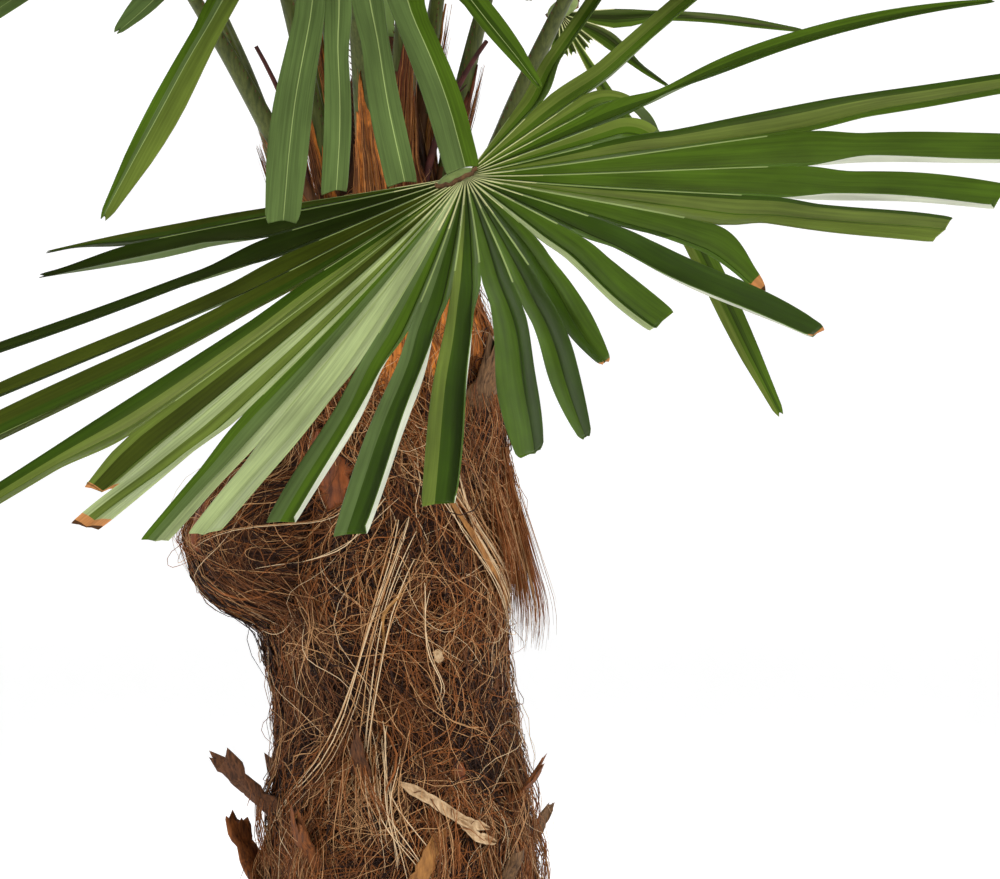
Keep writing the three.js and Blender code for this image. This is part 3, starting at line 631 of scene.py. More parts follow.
def limb_rings(points, section, sides, end_normal=None, twist=0):
    """Rings round a row of points; section gives the half width and half thickness at 0 to 1."""
    points = np.asarray(points, dtype=float)
    tangents = np.gradient(points, axis=0)
    if end_normal is not None:
        tangents[-1] = end_normal
    rings = []
    for step, (point, tangent) in enumerate(zip(points, tangents)):
        tangent = tangent / np.linalg.norm(tangent)
        across = np.array([-tangent[1], tangent[0], 0.0])
        if np.linalg.norm(across) < 0.05:
            across = np.array([1.0, 0.0, 0.0])
        across /= np.linalg.norm(across)
        along = np.cross(tangent, across)
        share = step / (len(points) - 1)
        turn = math.radians(twist) * share
        turned_across = across * math.cos(turn) + along * math.sin(turn)
        along = along * math.cos(turn) - across * math.sin(turn)
        across = turned_across
        half_width, half_thickness = section(share)
        turns = np.arange(sides) / sides * 2 * math.pi
        rings.append([point + across * math.cos(turn) * half_width + along * math.sin(turn) * half_thickness
                      for turn in turns])
    return rings


def along_line(points, at):
    """Points at fractional places along a row of points."""
    points = np.asarray(points, dtype=float)
    return np.stack([np.interp(at, np.arange(len(points)), points[:, axis]) for axis in range(3)], axis=-1)


golden_angle = 137.5
base_rows = [(3, 17, 0.340, 0.032), (12, 0, 0.436, 0.010), (4, 21, 0.842, 0.016)]
base_length = 0.074
base_width = 0.020
base_root_depth = 0.024
base_curl = 9.0
base_steps = 4
base_rings = 15
base_sides = 18
ragged_rings = 4
fringe_hairs = 12
fringe_steps = 6
cover_wisps = 3
cover_hairs = 8
fringe_thickness = 0.00042
cover_thickness = 0.00036
broken_bases = {6: 0.55}  # place in the spiral and the share that is left
crinkle_seed = 1
noise.seed_set(crinkle_seed)  # so that every run crinkles the dry pieces alike
base_tones = [
    # name, light, dark and roughness
    ("base_umber", (0.150, 0.056, 0.020), (0.016, 0.007, 0.004), 0.8),
    ("base_orange", (0.270, 0.085, 0.020), (0.032, 0.011, 0.005), 0.75),
    ("base_grey", (0.200, 0.105, 0.046), (0.024, 0.012, 0.007), 0.85),
]
base_finishes = [mottled_finish(name, light_tone, dark_tone, 420, 0.004, roughness, (1, 1, 0.10))
                 for name, light_tone, dark_tone, roughness in base_tones]
base_number = 0
base_fringe_paths = []
base_cover_paths = []
for count, first, low, rise in base_rows:
    for index in range(first, first + count):
        base_number += 1
        height = low + (index - first) * rise
        azimuth = 180 + golden_angle * index
        size = (1 + 0.25 * wander(282, index)) * broken_bases.get(index, 1)
        lean = 36 + 12 * wander(57, index)
        turned = azimuth + 8 * wander(43, index)
        spine = [on_trunk(height, azimuth, -base_root_depth)]
        for step in range(base_steps):
            heading = direction(turned, lean + step * base_curl)
            spine.append(spine[-1] + heading * base_length * size / base_steps)
        fine = along_line(spine, np.linspace(0, base_steps, base_rings))
        half = base_width * size

        def horn_section(share):
            width = half * (1 - 0.45 * share) * (1 + 0.16 * math.sin(share * 9 + base_number))
            return width, width * (0.40 - 0.18 * share)

        rings = limb_rings(fine, horn_section, base_sides, twist=75 * wander(91, index))
        for row, ring in enumerate(rings):
            for corner, place in enumerate(ring):
                place += np.array(noise.noise_vector(Vector(place) * 90)) * 0.0030
                place += np.array(noise.noise_vector(Vector(place) * 260)) * 0.0012
                past = row - (base_rings - ragged_rings - 1)
                if past > 0:
                    ragged = wander(base_number, corner // 2) + 0.4 * wander(base_number + 30, corner)
                    place += direction(turned, lean + 32) * past * 0.0026 * ragged
        horn_bm = bmesh.new()
        cut_end = grow_limb(horn_bm, rings)
        bmesh.ops.recalc_face_normals(horn_bm, faces=horn_bm.faces[:])
        for edge in cut_end.edges:
            edge.smooth = False
        bmesh.ops.poke(horn_bm, faces=[cut_end], offset=-0.003)
        name = f"leaf_base_{base_number:02d}_horn"
        horn = bm_mesh(name, horn_bm)
        finish = base_finishes[base_number % 3]
        place_piece(name, horn, [finish], [f"leaf_base_{base_number:02d}"])
        fringe_rng = np.random.default_rng(200 + base_number)
        for side in (-1, 1):
            for _ in range(fringe_hairs):
                at = fringe_rng.uniform(2, 9)
                root = along_line(fine, at)
                level = np.array([-math.sin(math.radians(turned)), math.cos(math.radians(turned)), 0.0])
                start = root + side * level * half * (0.9 - 0.03 * at)
                drift = direction(turned + side * 70, fringe_rng.uniform(-70, 10))
                drift = drift * fringe_rng.uniform(0.006, 0.022)
                fall = np.array([0, 0, -fringe_rng.uniform(0.004, 0.020)])
                base_fringe_paths.append([start + drift * share + fall * share * share
                                          for share in np.linspace(0, 1, fringe_steps)])
        for _ in range(cover_wisps):
            beside = fringe_rng.uniform(-9, 9)
            tip_side = fringe_rng.uniform(-14, 14)
            guide = [(height + 0.045, azimuth + beside * 0.4, 0.001),
                     (height + 0.024, azimuth + beside, 0.007),
                     (height + 0.004, azimuth + beside, 0.014),
                     (height - 0.018, azimuth + beside + tip_side * 0.5, 0.006),
                     (height - 0.042, azimuth + beside + tip_side, 0.001)]
            base_cover_paths.append(guided_hairs(fringe_rng, guide, cover_hairs, 0.007))
fringe_rng = np.random.default_rng(260)
place_hairs("leaf_base_fringe", np.array(base_fringe_paths), fringe_rng, fringe_thickness,
            [fibre_brown, fibre_rust])
place_hairs("leaf_base_cover", np.concatenate(base_cover_paths), fringe_rng, cover_thickness,
            [fibre_brown, fibre_rust, fibre_rust, fibre_tan])


# Loose fibre locks
# Four tufts have come free of the mat and hang beside the trunk, each a tapering bundle of hair.
# Each is rooted in the mat and swings outwards before it falls.
fibre_locks = [
    # height, azimuth, reach outwards, fall and hairs
    (0.840, -6, 0.038, 0.170, 300),
    (0.815, -24, 0.024, 0.095, 150),
    (0.850, 75, 0.026, 0.120, 150),
    (0.700, 130, 0.018, 0.090, 150),
]
tuft_steps = 12
tuft_root_depth = 0.004
hair_thickness = 0.00042
for number, (height, azimuth, out, fall, hairs) in enumerate(fibre_locks, start=1):
    tuft_rng = np.random.default_rng(300 + number)
    along = np.linspace(0, 1, tuft_steps)
    outward = direction(azimuth, 0)
    level = direction(azimuth + 90, 0)
    paths = []
    for kept, share in tuft_rng.uniform((0.55, 0.25), (1.05, 1.25), (hairs, 2)):
        reach = along * kept
        swing = reach ** 1.2 - 4 * np.maximum(0, reach - 0.75) ** 2
        root = on_trunk(height, azimuth, -tuft_root_depth)
        spine = root + outward * (tuft_root_depth + out * share * swing)[:, None]
        paths.append(spine - np.array([0, 0, 1]) * (fall * reach ** 1.1)[:, None])
    paths = np.array(paths)
    side_sway = tuft_rng.normal(0, 0.0060, (hairs, 1, 1)) * (0.6 + 0.7 * along[None, :, None])
    out_sway = tuft_rng.normal(0, 0.0048, (hairs, 1, 1)) * (0.4 + 0.8 * along[None, :, None])
    wave = along[None] * tuft_rng.uniform(3, 9, (hairs, 1)) + tuft_rng.uniform(0, 6, (hairs, 1))
    paths = paths + level * (side_sway + 0.0042 * np.sin(wave)[..., None]) + outward * out_sway
    tuft_tones = tuft_rng.integers(0, 3, hairs)
    radii = hair_radii(tuft_rng, hairs, tuft_steps, hair_thickness)
    name = f"fibre_lock_{number:02d}_hair"
    tuft = strand_mesh(name, paths, radii, tuft_tones)
    place_piece(name, tuft, [fibre_rust, fibre_rust, fibre_tan], [f"fibre_lock_{number:02d}"])

# Leaf stalks
# Each leaf stands on a hard, olive, slightly flattened stalk that springs from the fibre.
# It is broad and brown at its foot, narrows quickly and bears fine teeth along both edges.
first_azimuth = 22.0
stalk_steps = 9
stalk_base_radius = 0.014
stalk_tip_radius = 0.0065
stalk_root_depth = 0.018
hub_depth = 0.012


def mix(first, second, share):
    return first + (second - first) * share


def spiral_frond(order, seed):
    """Frond that follows the spiral: young ones stand upright and half folded, older ones arch out."""
    age = order / 12
    opened = min(1, age * 2.4)
    grown = min(1, age * 2)
    return dict(
        azimuth=first_azimuth + golden_angle * order + 9 * wander(seed, 100),
        height=mix(1.075, 0.945, min(1, age * 1.2)),
        rise=mix(87, 74, age) + 3 * wander(seed, 101),
        sag=mix(8, 38, age) + 5 * wander(seed, 106),
        stalk=mix(0.330, 0.500, min(1, age * 1.6)) + 0.040 * wander(seed, 102),
        pitch=mix(78, -8, age ** 0.8) + 10 * wander(seed, 103),
        yaw=15 * wander(seed, 104),
        roll=mix(14, 32, grown) * wander(seed, 105),
        leaflets=math.floor(mix(9, 22, opened) + 0.5),
        spread=mix(70, 225, opened),
        reach=mix(0.380, 0.425, grown),
        short=0.12, droop=mix(0.06, 0.2, age), cup=mix(0.16, 0.10, age), seed=seed,
        fold=mix(0.34, 0.20, grown),
    )


# Four older fronds are given one by one. For single leaflets, by number from the fan's first edge, trimmed
# and eased hold the share of the length and of the droop that is left, and aside a turn in degrees.
hanging_frond = dict(
    azimuth=-79, height=0.950, rise=39, sag=46, stalk=0.348, pitch=-30, yaw=5, roll=28,
    leaflets=28, spread=230, reach=0.430, short=0, droop=0.21, cup=0.25, seed=3, fold=0.26,
    trimmed={0: 0.95, 1: 0.95, 2: 0.5, 3: 1.08, 4: 0.5, 5: 1.12, 6: 1.12, 7: 1.13, 8: 1.13, 9: 0.82,
             10: 1.14, 11: 0.74, 12: 0.83, 13: 1.04, 14: 1.04, 15: 0.95, 16: 1.04, 17: 0.95, 18: 1.04,
             19: 0.95, 21: 0.86, 24: 0.95, 25: 0.92, 26: 0.75, 27: 0.8},
    eased={3: 1.25, 5: 1.1, 7: 0.85, 8: 0.6, 9: 1.6, 10: 0.9},
    aside={0: -20, 1: -9, 2: -11, 3: -6, 4: -3, 5: 2.9, 6: 3, 7: 4, 8: 2, 9: 1, 12: 3, 13: 2.5,
           15: 3, 16: 4, 17: 5.5, 18: 3.5, 19: 3.5, 20: 2, 25: 1, 26: 2.5},
)
drooping_frond = dict(
    azimuth=-98, height=1.000, rise=70, sag=18, stalk=0.382, pitch=-52, yaw=-1, roll=4,
    leaflets=22, spread=230, reach=0.410, short=0.1, droop=0.2, cup=0.05, seed=8, fold=0.07,
    trimmed={4: 0.82, 5: 0.5, 6: 0.5, 7: 0.85, 8: 0.955, 9: 0.885, 10: 0.915, 12: 0.5, 14: 0.5,
             15: 0.62, 16: 0.5, 19: 0.5, 20: 0.5, 21: 0.5},
    aside={7: -6, 8: -2, 9: -3, 10: -3, 11: -7, 13: -2, 15: -4},
)
broken_frond = dict(
    azimuth=51, height=0.930, rise=75, sag=27, stalk=0.358, pitch=-60, yaw=-41, roll=-90,
    leaflets=9, spread=104, reach=0.430, short=0, droop=0.1, cup=0.05, seed=12, fold=0.14, split=0.08,
    trimmed={0: 0.12, 1: 0.12, 2: 0.12, 3: 0.12, 4: 0.95, 5: 0.12, 6: 0.12, 7: 0.29, 8: 0.54},
    aside={4: 1.5, 7: -6, 8: 7},
)
side_frond = dict(
    azimuth=216, height=1.000, rise=62, sag=16, stalk=0.440, pitch=0, yaw=0, roll=-12,
    leaflets=22, spread=225, reach=0.425, short=0.1, droop=0.2, cup=0.1, seed=12, fold=0.22,
)
fronds = [
    spiral_frond(0, 20), spiral_frond(1, 40), spiral_frond(2, 100), spiral_frond(3, 14),
    spiral_frond(4, 202), spiral_frond(5, 155), spiral_frond(6, 37), drooping_frond, broken_frond,
    spiral_frond(9, 178), spiral_frond(10, 107), spiral_frond(11, 62), side_frond, hanging_frond,
]


def frond_frame(frond):
    """The stalk's points, the hub, and the blade's forward, side and upward directions."""
    points = [on_trunk(frond["height"], frond["azimuth"], -stalk_root_depth)]
    for step in range(stalk_steps):
        share = (step + 0.5) / stalk_steps
        heading = direction(frond["azimuth"], frond["rise"] - frond["sag"] * share)
        points.append(points[-1] + heading * frond["stalk"] / stalk_steps)
    tangent = points[-1] - points[-2]
    tangent /= np.linalg.norm(tangent)
    blade_azimuth = frond["azimuth"] + frond["yaw"]
    forward = direction(blade_azimuth, frond["pitch"])
    level = direction(blade_azimuth, frond["pitch"] + 90)
    roll = math.radians(frond["roll"])
    up = level * math.cos(roll) + np.cross(forward, level) * math.sin(roll)
    side = np.cross(forward, up)
    seat = (tangent + up) / np.linalg.norm(tangent + up)
    hub = points[-1] + seat * (hub_depth + 0.0003)
    return dict(points=np.array(points), hub=hub, forward=forward, side=side, up=up, seat=seat)


stalk_grain = (1, 1, 0.08)
stalk_olive = mottled_finish("stalk_olive", (0.090, 0.104, 0.020), (0.034, 0.044, 0.008), 300, 0.0006, 0.42,
                             stalk_grain)
stalk_brown = mottled_finish("stalk_brown", (0.150, 0.062, 0.022), (0.050, 0.022, 0.010), 300, 0.0008, 0.6,
                             stalk_grain)
frames = [frond_frame(frond) for frond in fronds]
stalk_rows = 37
stalk_sides = 14
brown_foot = 0.065
tooth_spacing = 0.55
tooth_paths = []
for number, (frond, place) in enumerate(zip(fronds, frames), start=1):
    fine = along_line(place["points"], np.linspace(0, stalk_steps, stalk_rows))
    fine[1:-1] = (fine[:-2] + 2 * fine[1:-1] + fine[2:]) / 4

    def stalk_section(share):
        half = mix(stalk_base_radius, stalk_tip_radius, min(1, share * 1.6))
        return half, half * 0.75

    stalk_bm = bmesh.new()
    grow_limb(stalk_bm, limb_rings(fine, stalk_section, stalk_sides, place["seat"]))
    name = f"frond_{number:02d}_petiole"
    stalk = bm_mesh(name, stalk_bm)
    foot = frond["height"] + brown_foot
    tones = np.array([int(polygon.center.z < foot + 0.03 * wander(number, polygon.index % stalk_sides))
                      for polygon in stalk.polygons], dtype=np.int32)
    stalk.polygons.foreach_set("material_index", tones)
    place_piece(name, stalk, [stalk_olive, stalk_brown], [f"frond_{number:02d}_stalk"])
    tangents = np.gradient(fine, axis=0)
    for row in np.arange(6, stalk_rows - 3, tooth_spacing):
        point = along_line(fine, row)
        tangent = tangents[int(row)] / np.linalg.norm(tangents[int(row)])
        across = np.array([-tangent[1], tangent[0], 0.0])
        across /= max(np.linalg.norm(across), 1e-6)
        half = stalk_section(row / (stalk_rows - 1))[0]
        for edge in (-1, 1):
            root = point + across * edge * half * 0.9
            tooth_paths.append([root, root + across * edge * 0.0016 + tangent * 0.0008,
                                root + across * edge * 0.0024 + tangent * 0.0028])
tooth_paths = np.array(tooth_paths)
tooth_radii = np.tile(np.array([0.0009, 0.0006, 0.00008]), (len(tooth_paths), 1))
tooth_mesh = strand_mesh("stalk_teeth", tooth_paths, tooth_radii, np.zeros(len(tooth_paths), dtype=int))
place_piece("stalk_teeth", tooth_mesh, [stalk_brown])


# Leaf sheaths
# The foot of each stalk widens into a sheath that clasps the growing tip.
# It is stiff and orange brown, and its edges dissolve into combed fibre.
sheath_tones = [
    # name, light, dark and roughness
    ("sheath_orange", (0.780, 0.250, 0.035), (0.190, 0.050, 0.010), 0.62),
    ("sheath_red", (0.210, 0.055, 0.020), (0.050, 0.014, 0.007), 0.66),
    ("sheath_olive", (0.420, 0.170, 0.030), (0.110, 0.040, 0.010), 0.6),
]
sheath_finishes = [mottled_finish(name, light_tone, dark_tone, 300, 0.002, roughness, (1, 1, 0.06))
                   for name, light_tone, dark_tone, roughness in sheath_tones]
sheath_thickness = 0.0016
edge_hairs = 110
sheath_rows = 20
sheath_columns = 13
sheath_below = 0.080
sheath_above = 0.095
sheath_point = 0.060
sheath_crinkle = 0.0015
sheath_hairs = []
for number, (frond, place) in enumerate(zip(fronds, frames), start=1):
    sheath_rng = np.random.default_rng(400 + number)
    outward = direction(frond["azimuth"], 0)
    level = direction(frond["azimuth"] + 90, 0)
    stalk_line = place["points"]
    low = frond["height"] - sheath_below
    upright = min(1, max(0.4, (frond["rise"] - 50) / 20))
    high = frond["height"] + sheath_above * upright + 0.02 * wander(number, 3)
    points = np.zeros((sheath_rows, sheath_columns, 3))
    for row in range(sheath_rows):
        share = row / (sheath_rows - 1)
        half_turn = mix(46, 30, share) * (1 - share ** 3)
        for column in range(sheath_columns):
            across = 2 * column / (sheath_columns - 1) - 1
            point_up = sheath_point * upright * (1 - abs(across)) + 0.014 * wander(number * 13, column)
            height = mix(low, high + point_up, share)
            azimuth = frond["azimuth"] + across * half_turn
            lift = 0.004 + 0.004 * share - 0.006 * across ** 2 - 0.014 * (1 - share) ** 3
            hug = on_trunk(height, azimuth, lift)
            stalk_height = max(height, stalk_line[0][2] + 0.001)
            spine = np.array([np.interp(stalk_height, stalk_line[:, 2], stalk_line[:, axis])
                              for axis in range(3)])
            crown = mix(0.010, 0.0085, share) * (1 - 0.7 * across ** 2)
            clasp = spine + level * across * mix(0.028, 0.0095, share) + outward * crown
            lean = min(1, max(0, (height - frond["height"] + 0.005) / 0.06))
            lean = lean * lean * (3 - 2 * lean)
            crinkle = np.array(noise.noise_vector(Vector(hug) * 60)) * sheath_crinkle
            points[row, column] = mix(hug, clasp, lean) + crinkle
    index = np.arange(sheath_rows * sheath_columns).reshape(sheath_rows, sheath_columns)
    quads = np.stack([index[:-1, :-1], index[:-1, 1:], index[1:, 1:], index[1:, :-1]], axis=-1)
    name = f"sheath_{number:02d}"
    sheath_mesh = joined_mesh(name, points.reshape(-1, 3), quads.reshape(-1, 4))
    sheath = place_piece(name, sheath_mesh, [sheath_finishes[(number + 1) % 3]])
    give_wall(sheath, sheath_thickness, 0)
    for _ in range(edge_hairs):
        column = sheath_rng.integers(0, sheath_columns)
        start_row = sheath_rng.integers(0, sheath_rows - 6)
        stop_row = min(sheath_rows - 1, start_row + sheath_rng.integers(5, 12))
        line = points[np.linspace(start_row, stop_row, 7).astype(int), column]
        lift = sheath_rng.uniform(0.001, 0.005) * np.linspace(0, 1, 7)[:, None] ** 2
        jitter = sheath_rng.normal(0, 0.0012, 3)
        sheath_hairs.append(line + outward * (0.002 + lift) + jitter)
sheath_rng = np.random.default_rng(430)
sheath_orange_hair = fibre_finish("fibre_orange", (0.52, 0.21, 0.06), 0.6)
place_hairs("sheath_hair", np.array(sheath_hairs), sheath_rng, hair_thickness,
            [sheath_orange_hair, fibre_rust, fibre_brown])


# Fans
# A leaf is one stiff pleated sheet round its hub, split outwards into folded leaflets.
# Every leaflet is a long gutter with its rib in the fold; the seams between them are pale ridges.
# Tips are blunt with a small notch, and some are scorched brown.
split_at = 0.42
widest_at = 0.72
leaflet_gap = 0.88
widest_leaflet = 0.036
middle_gather = 0.25
broken_stump = 0.030
curve_scale = 0.5
hub_radius = 0.006
blade_thickness = 0.0007
seam_width = 0.0007
seam_opening = 0.06
shortest_free = 0.030
usual_tip = 0.34
cut_tip = 0.86
usual_pleat = 0.2
usual_rib = 0.0007
pinch_length = 0.045


def own(frond, table, index, usual):
    """A leaflet's own value from one of its frond's tables, or else the usual one."""
    return frond.get(table, {}).get(index, usual)


def leaflet_plan(frond):
    """Angle, length and droop of each leaflet of a frond."""
    plan = []
    seed = frond["seed"]
    shortest = frond.get("split", split_at) * frond["reach"] + broken_stump
    for index in range(frond["leaflets"]):
        place = -1 + 2 * index / (frond["leaflets"] - 1)
        gathered = place - middle_gather * place * (1 - place * place)
        aside = own(frond, "aside", index, 0) + 0.8 * wander(seed, index)
        grown = frond["reach"] * (1 - frond["short"] * place * place) * (1 + 0.05 * wander(seed + 5, index))
        left_over = max(own(frond, "trimmed", index, 1) * grown, shortest)
        plan.append(dict(
            angle=math.radians(frond["spread"] / 2 * gathered + aside),
            length=own(frond, "ends", index, left_over),
            droop=own(frond, "eased", index, 1) * frond["droop"] * (1 + 0.3 * wander(seed + 9, index)),
        ))
    return plan


def seam_plan(frond, plan):
    """Angle, droop and end of the seam beside each leaflet, and of the fan's two outer edges."""
    count = len(plan)
    fused = frond.get("split", split_at) * frond["reach"]
    step = min(plan[1]["angle"] - plan[0]["angle"], math.radians(frond["spread"]) / (count - 1))
    margin = step * frond.get("margin", 0.5)
    seams = []
    for seam in range(count + 1):
        before, after = plan[max(seam - 1, 0)], plan[min(seam, count - 1)]
        outward = -margin if seam == 0 else margin if seam == count else 0
        split = fused * own(frond, "late_splits", seam, 1 + 0.16 * wander(frond["seed"] + 3, seam))
        seams.append(dict(
            angle=(before["angle"] + after["angle"]) / 2 + outward,
            droop=(before["droop"] + after["droop"]) / 2,
            split=min(split, before["length"] - shortest_free, after["length"] - shortest_free),
        ))
    return seams


def on_blade(frond, place, angle, distance, droop):
    """Points of the blade's smooth surface at one angle, for an array of distances from the hub."""
    heading = place["forward"] * math.cos(angle) + place["side"] * math.sin(angle)
    level = math.hypot(heading[0], heading[1])
    share = distance / curve_scale
    points = place["hub"] + heading * distance[:, None]
    points = points + place["up"] * (frond["cup"] * share ** 2 * curve_scale)[:, None]
    return points - np.array([0, 0, 1]) * (droop * level * share ** 2.5 * curve_scale)[:, None]


def ease(values):
    values = np.clip(values, 0, 1)
    return values * values * (3 - 2 * values)


def turned_by(vectors, axis, angle):
    """Vectors turned about an axis by an angle."""
    return (vectors * math.cos(angle) + np.cross(axis, vectors) * math.sin(angle)
            + np.outer(vectors @ axis, axis) * (1 - math.cos(angle)))


# Numbers of the blade's finishes, and the finish that the shaded side of a fold takes.
# The darker greens are the leaf in painted shade, the paler ones the leaf in painted light and painted sky
# reflection.
rolled, shaded_black_green, deep, olive, green, bright, grey, light, rib, hub_yellow, scorched, burnt = range(12)
back_of_rolled = 12
deeper = {shaded_black_green: shaded_black_green, deep: shaded_black_green, olive: deep, green: deep, bright: green, grey: grey,
          light: light}
# Halves for leaflets that no table lists: mostly one half in painted shade or painted light beside the
# other.
usual_lit_and_shaded_halves = [(green, deep), (deep, green), (bright, green), (green, green)]
leaflet_columns = 9


def burnt_end(frond, index):
    """How much of a leaflet's tip is scorched."""
    scorch = wander(frond["seed"] + 61, index)
    return own(frond, "burnt_tips", index, 0 if "burnt_tips" in frond else max(0, 0.03 * (scorch - 0.3)))


def leaflet_rows(frond, index, length, own_split, common, rows):
    """Distances of a leaflet's rows from the hub: the fan's common ones, then its own up to the tip."""
    near = common[common <= own_split + 1e-6]
    far = np.linspace(near[-1], length, rows - len(near) + 1)[1:]
    distance = np.concatenate([near, far])
    distance[-3] = max(length - max(burnt_end(frond, index), 0.008), distance[-4] + 0.001)
    distance[-2] = length - 0.0035
    return distance


def leaflet_widths(frond, index, length, spacing, distance):
    """Half the room between the seams, half the leaflet's own width, and how far out each row lies."""
    fused = frond.get("split", split_at) * frond["reach"]
    full = spacing * distance / 2
    middle = max(widest_at * length, mix(fused, length, 0.5))
    broadest = min(leaflet_gap * spacing * middle, widest_leaflet * frond.get("broad", 1))
    widest = broadest / 2 * own(frond, "slim", index, 1)
    cut = own(frond, "cut_tips", index, 0)
    tip = mix(frond.get("tip", usual_tip), cut_tip, cut)
    out = np.clip((distance - middle) / (length - middle), 0, 1)
    half = widest * np.tanh(full * frond.get("waist", 1) / widest)
    half = half * mix(1, tip, out ** mix(1.7, 2.6, cut))
    half = half * (1 - mix(0.45, 0.06, cut) * np.clip((out - 0.92) / 0.08, 0, 1) ** 2)
    pinch_at, pinch = own(frond, "pinches", index, (0, 0))
    half = half * (1 - pinch * np.exp(-((distance - pinch_at) / pinch_length) ** 2))
    return full, half, out


def leaflet_spine(frond, place, index, leaflet, own_split, distance):
    """A leaflet's middle line, with its sway and bend, and its twisted sideways and upward directions."""
    seed = frond["seed"]
    turn = leaflet["angle"]
    across = place["side"] * math.cos(turn) - place["forward"] * math.sin(turn)
    free = ease((distance - own_split) / (leaflet["length"] - own_split))
    twist = np.radians(own(frond, "twists", index, 8 * wander(seed + 21, index))) * free
    free_across = across * np.cos(twist)[:, None] + place["up"] * np.sin(twist)[:, None]
    free_up = place["up"] * np.cos(twist)[:, None] - across * np.sin(twist)[:, None]
    sway = 0.004 * np.sin(distance * 14 + 6 * wander(seed + 31, index))
    sway = sway * ease((distance - own_split) / 0.15)
    bend = math.tan(math.radians(own(frond, "bends", index, 0))) * np.maximum(0, distance - own_split)
    centre = on_blade(frond, place, turn, distance, leaflet["droop"]) + across * (sway + bend)[:, None]
    return centre, free_across, free_up


def curl_over(grid, centre, start, curl_turn):
    """Winds a leaflet's end down and back from one row on."""
    heading = centre[start] - centre[start - 1]
    axis = np.cross(heading, (0, 0, -1))
    axis /= np.linalg.norm(axis)
    middle_line = grid[:, leaflet_columns // 2].copy()
    anchor = middle_line[start - 1].copy()
    rows = len(grid)
    for row in range(start, rows):
        angle = math.radians(curl_turn) * (row - start + 1) / (rows - start)
        stride = turned_by((middle_line[row] - middle_line[row - 1])[None], axis, angle)[0]
        section = turned_by(grid[row] - middle_line[row], axis, angle)
        anchor = anchor + stride
        grid[row] = anchor + section


def leaflet_lean(frond, index):
    """How far the fold lies from the leaflet's middle; beyond a half the leaflet rolls over."""
    return own(frond, "leans", index, 0.4 * wander(frond["seed"] + 17, index))


def leaflet_grid(frond, place, index, leaflet, seams, distance):
    """A leaflet's points, as rows of nine columns from seam to seam, and their map on the blade."""
    own_split = max(seam["split"] for seam in seams)
    spacing = seams[1]["angle"] - seams[0]["angle"]
    full, half, out = leaflet_widths(frond, index, leaflet["length"], spacing, distance)
    centre, free_across, free_up = leaflet_spine(frond, place, index, leaflet, own_split, distance)
    lean = leaflet_lean(frond, index)
    rolled_over = max(0, abs(lean) - 0.5)
    sides = []
    for seam, sign in zip(seams, (-1, 1)):
        joined = on_blade(frond, place, seam["angle"], distance, seam["droop"])
        narrow = rolled_over if sign * lean < 0 else 0
        loose = centre + free_across * (sign * half * (1 - 1.1 * narrow))[:, None]
        loose = loose + free_up * (half * 1.8 * narrow)[:, None]
        opening = ease((distance - seam["split"]) / seam_opening)[:, None]
        sides.append(mix(joined, loose, opening))
    opened = ease((distance - own_split * 0.85) / 0.12)
    pleat = frond.get("pleat", usual_pleat)
    depth = mix(pleat * 2 * full, frond["fold"] * 2 * half, opened) * (1 - 0.3 * out)
    joined_valley = mix(sides[0], sides[1], 0.5 - 0.2 * lean) - place["up"] * depth[:, None]
    loose_valley = centre - free_across * (lean * 0.85 * half)[:, None] - free_up * depth[:, None]
    valley = mix(joined_valley, loose_valley, opened[:, None])
    seam_share = np.clip(1 - seam_width / np.maximum(full, 0.001), 0.5, 0.96)
    rib_share = np.clip(frond.get("rib_width", usual_rib) / np.maximum(full, 0.001), 0.02, 0.3)
    fold_share = mix(rib_share, seam_share, own(frond, "fold_share", index, 0.35))
    half_columns = np.stack([0 * full, rib_share, fold_share, seam_share, 1 + 0 * full], axis=1)
    shares = np.concatenate([-half_columns[:, :0:-1], half_columns], axis=1)
    grid = np.zeros((len(distance), leaflet_columns, 3))
    for column in range(leaflet_columns):
        share = np.abs(shares[:, column])[:, None]
        edge_points = sides[0] if column < leaflet_columns // 2 else sides[1]
        crown = depth[:, None] * 0.8 * share * (1 - share)
        grid[:, column] = mix(valley, edge_points, share) + free_up * crown
    last = (centre[-1] - centre[-2]) / np.linalg.norm(centre[-1] - centre[-2])
    notch = mix(0.005, 0.004, own(frond, "cut_tips", index, 0))
    grid[-1] -= np.outer(notch * (1 - np.abs(shares[-1])), last)
    curl_at, curl_turn = own(frond, "curls", index, (2, 0))
    if curl_at < 1:
        curl_over(grid, centre, int(np.searchsorted(distance, curl_at * leaflet["length"])), curl_turn)
    across_blade = shares * half[:, None] + index * 0.07
    return grid, np.stack(np.broadcast_arrays(across_blade, distance[:, None]), axis=-1)


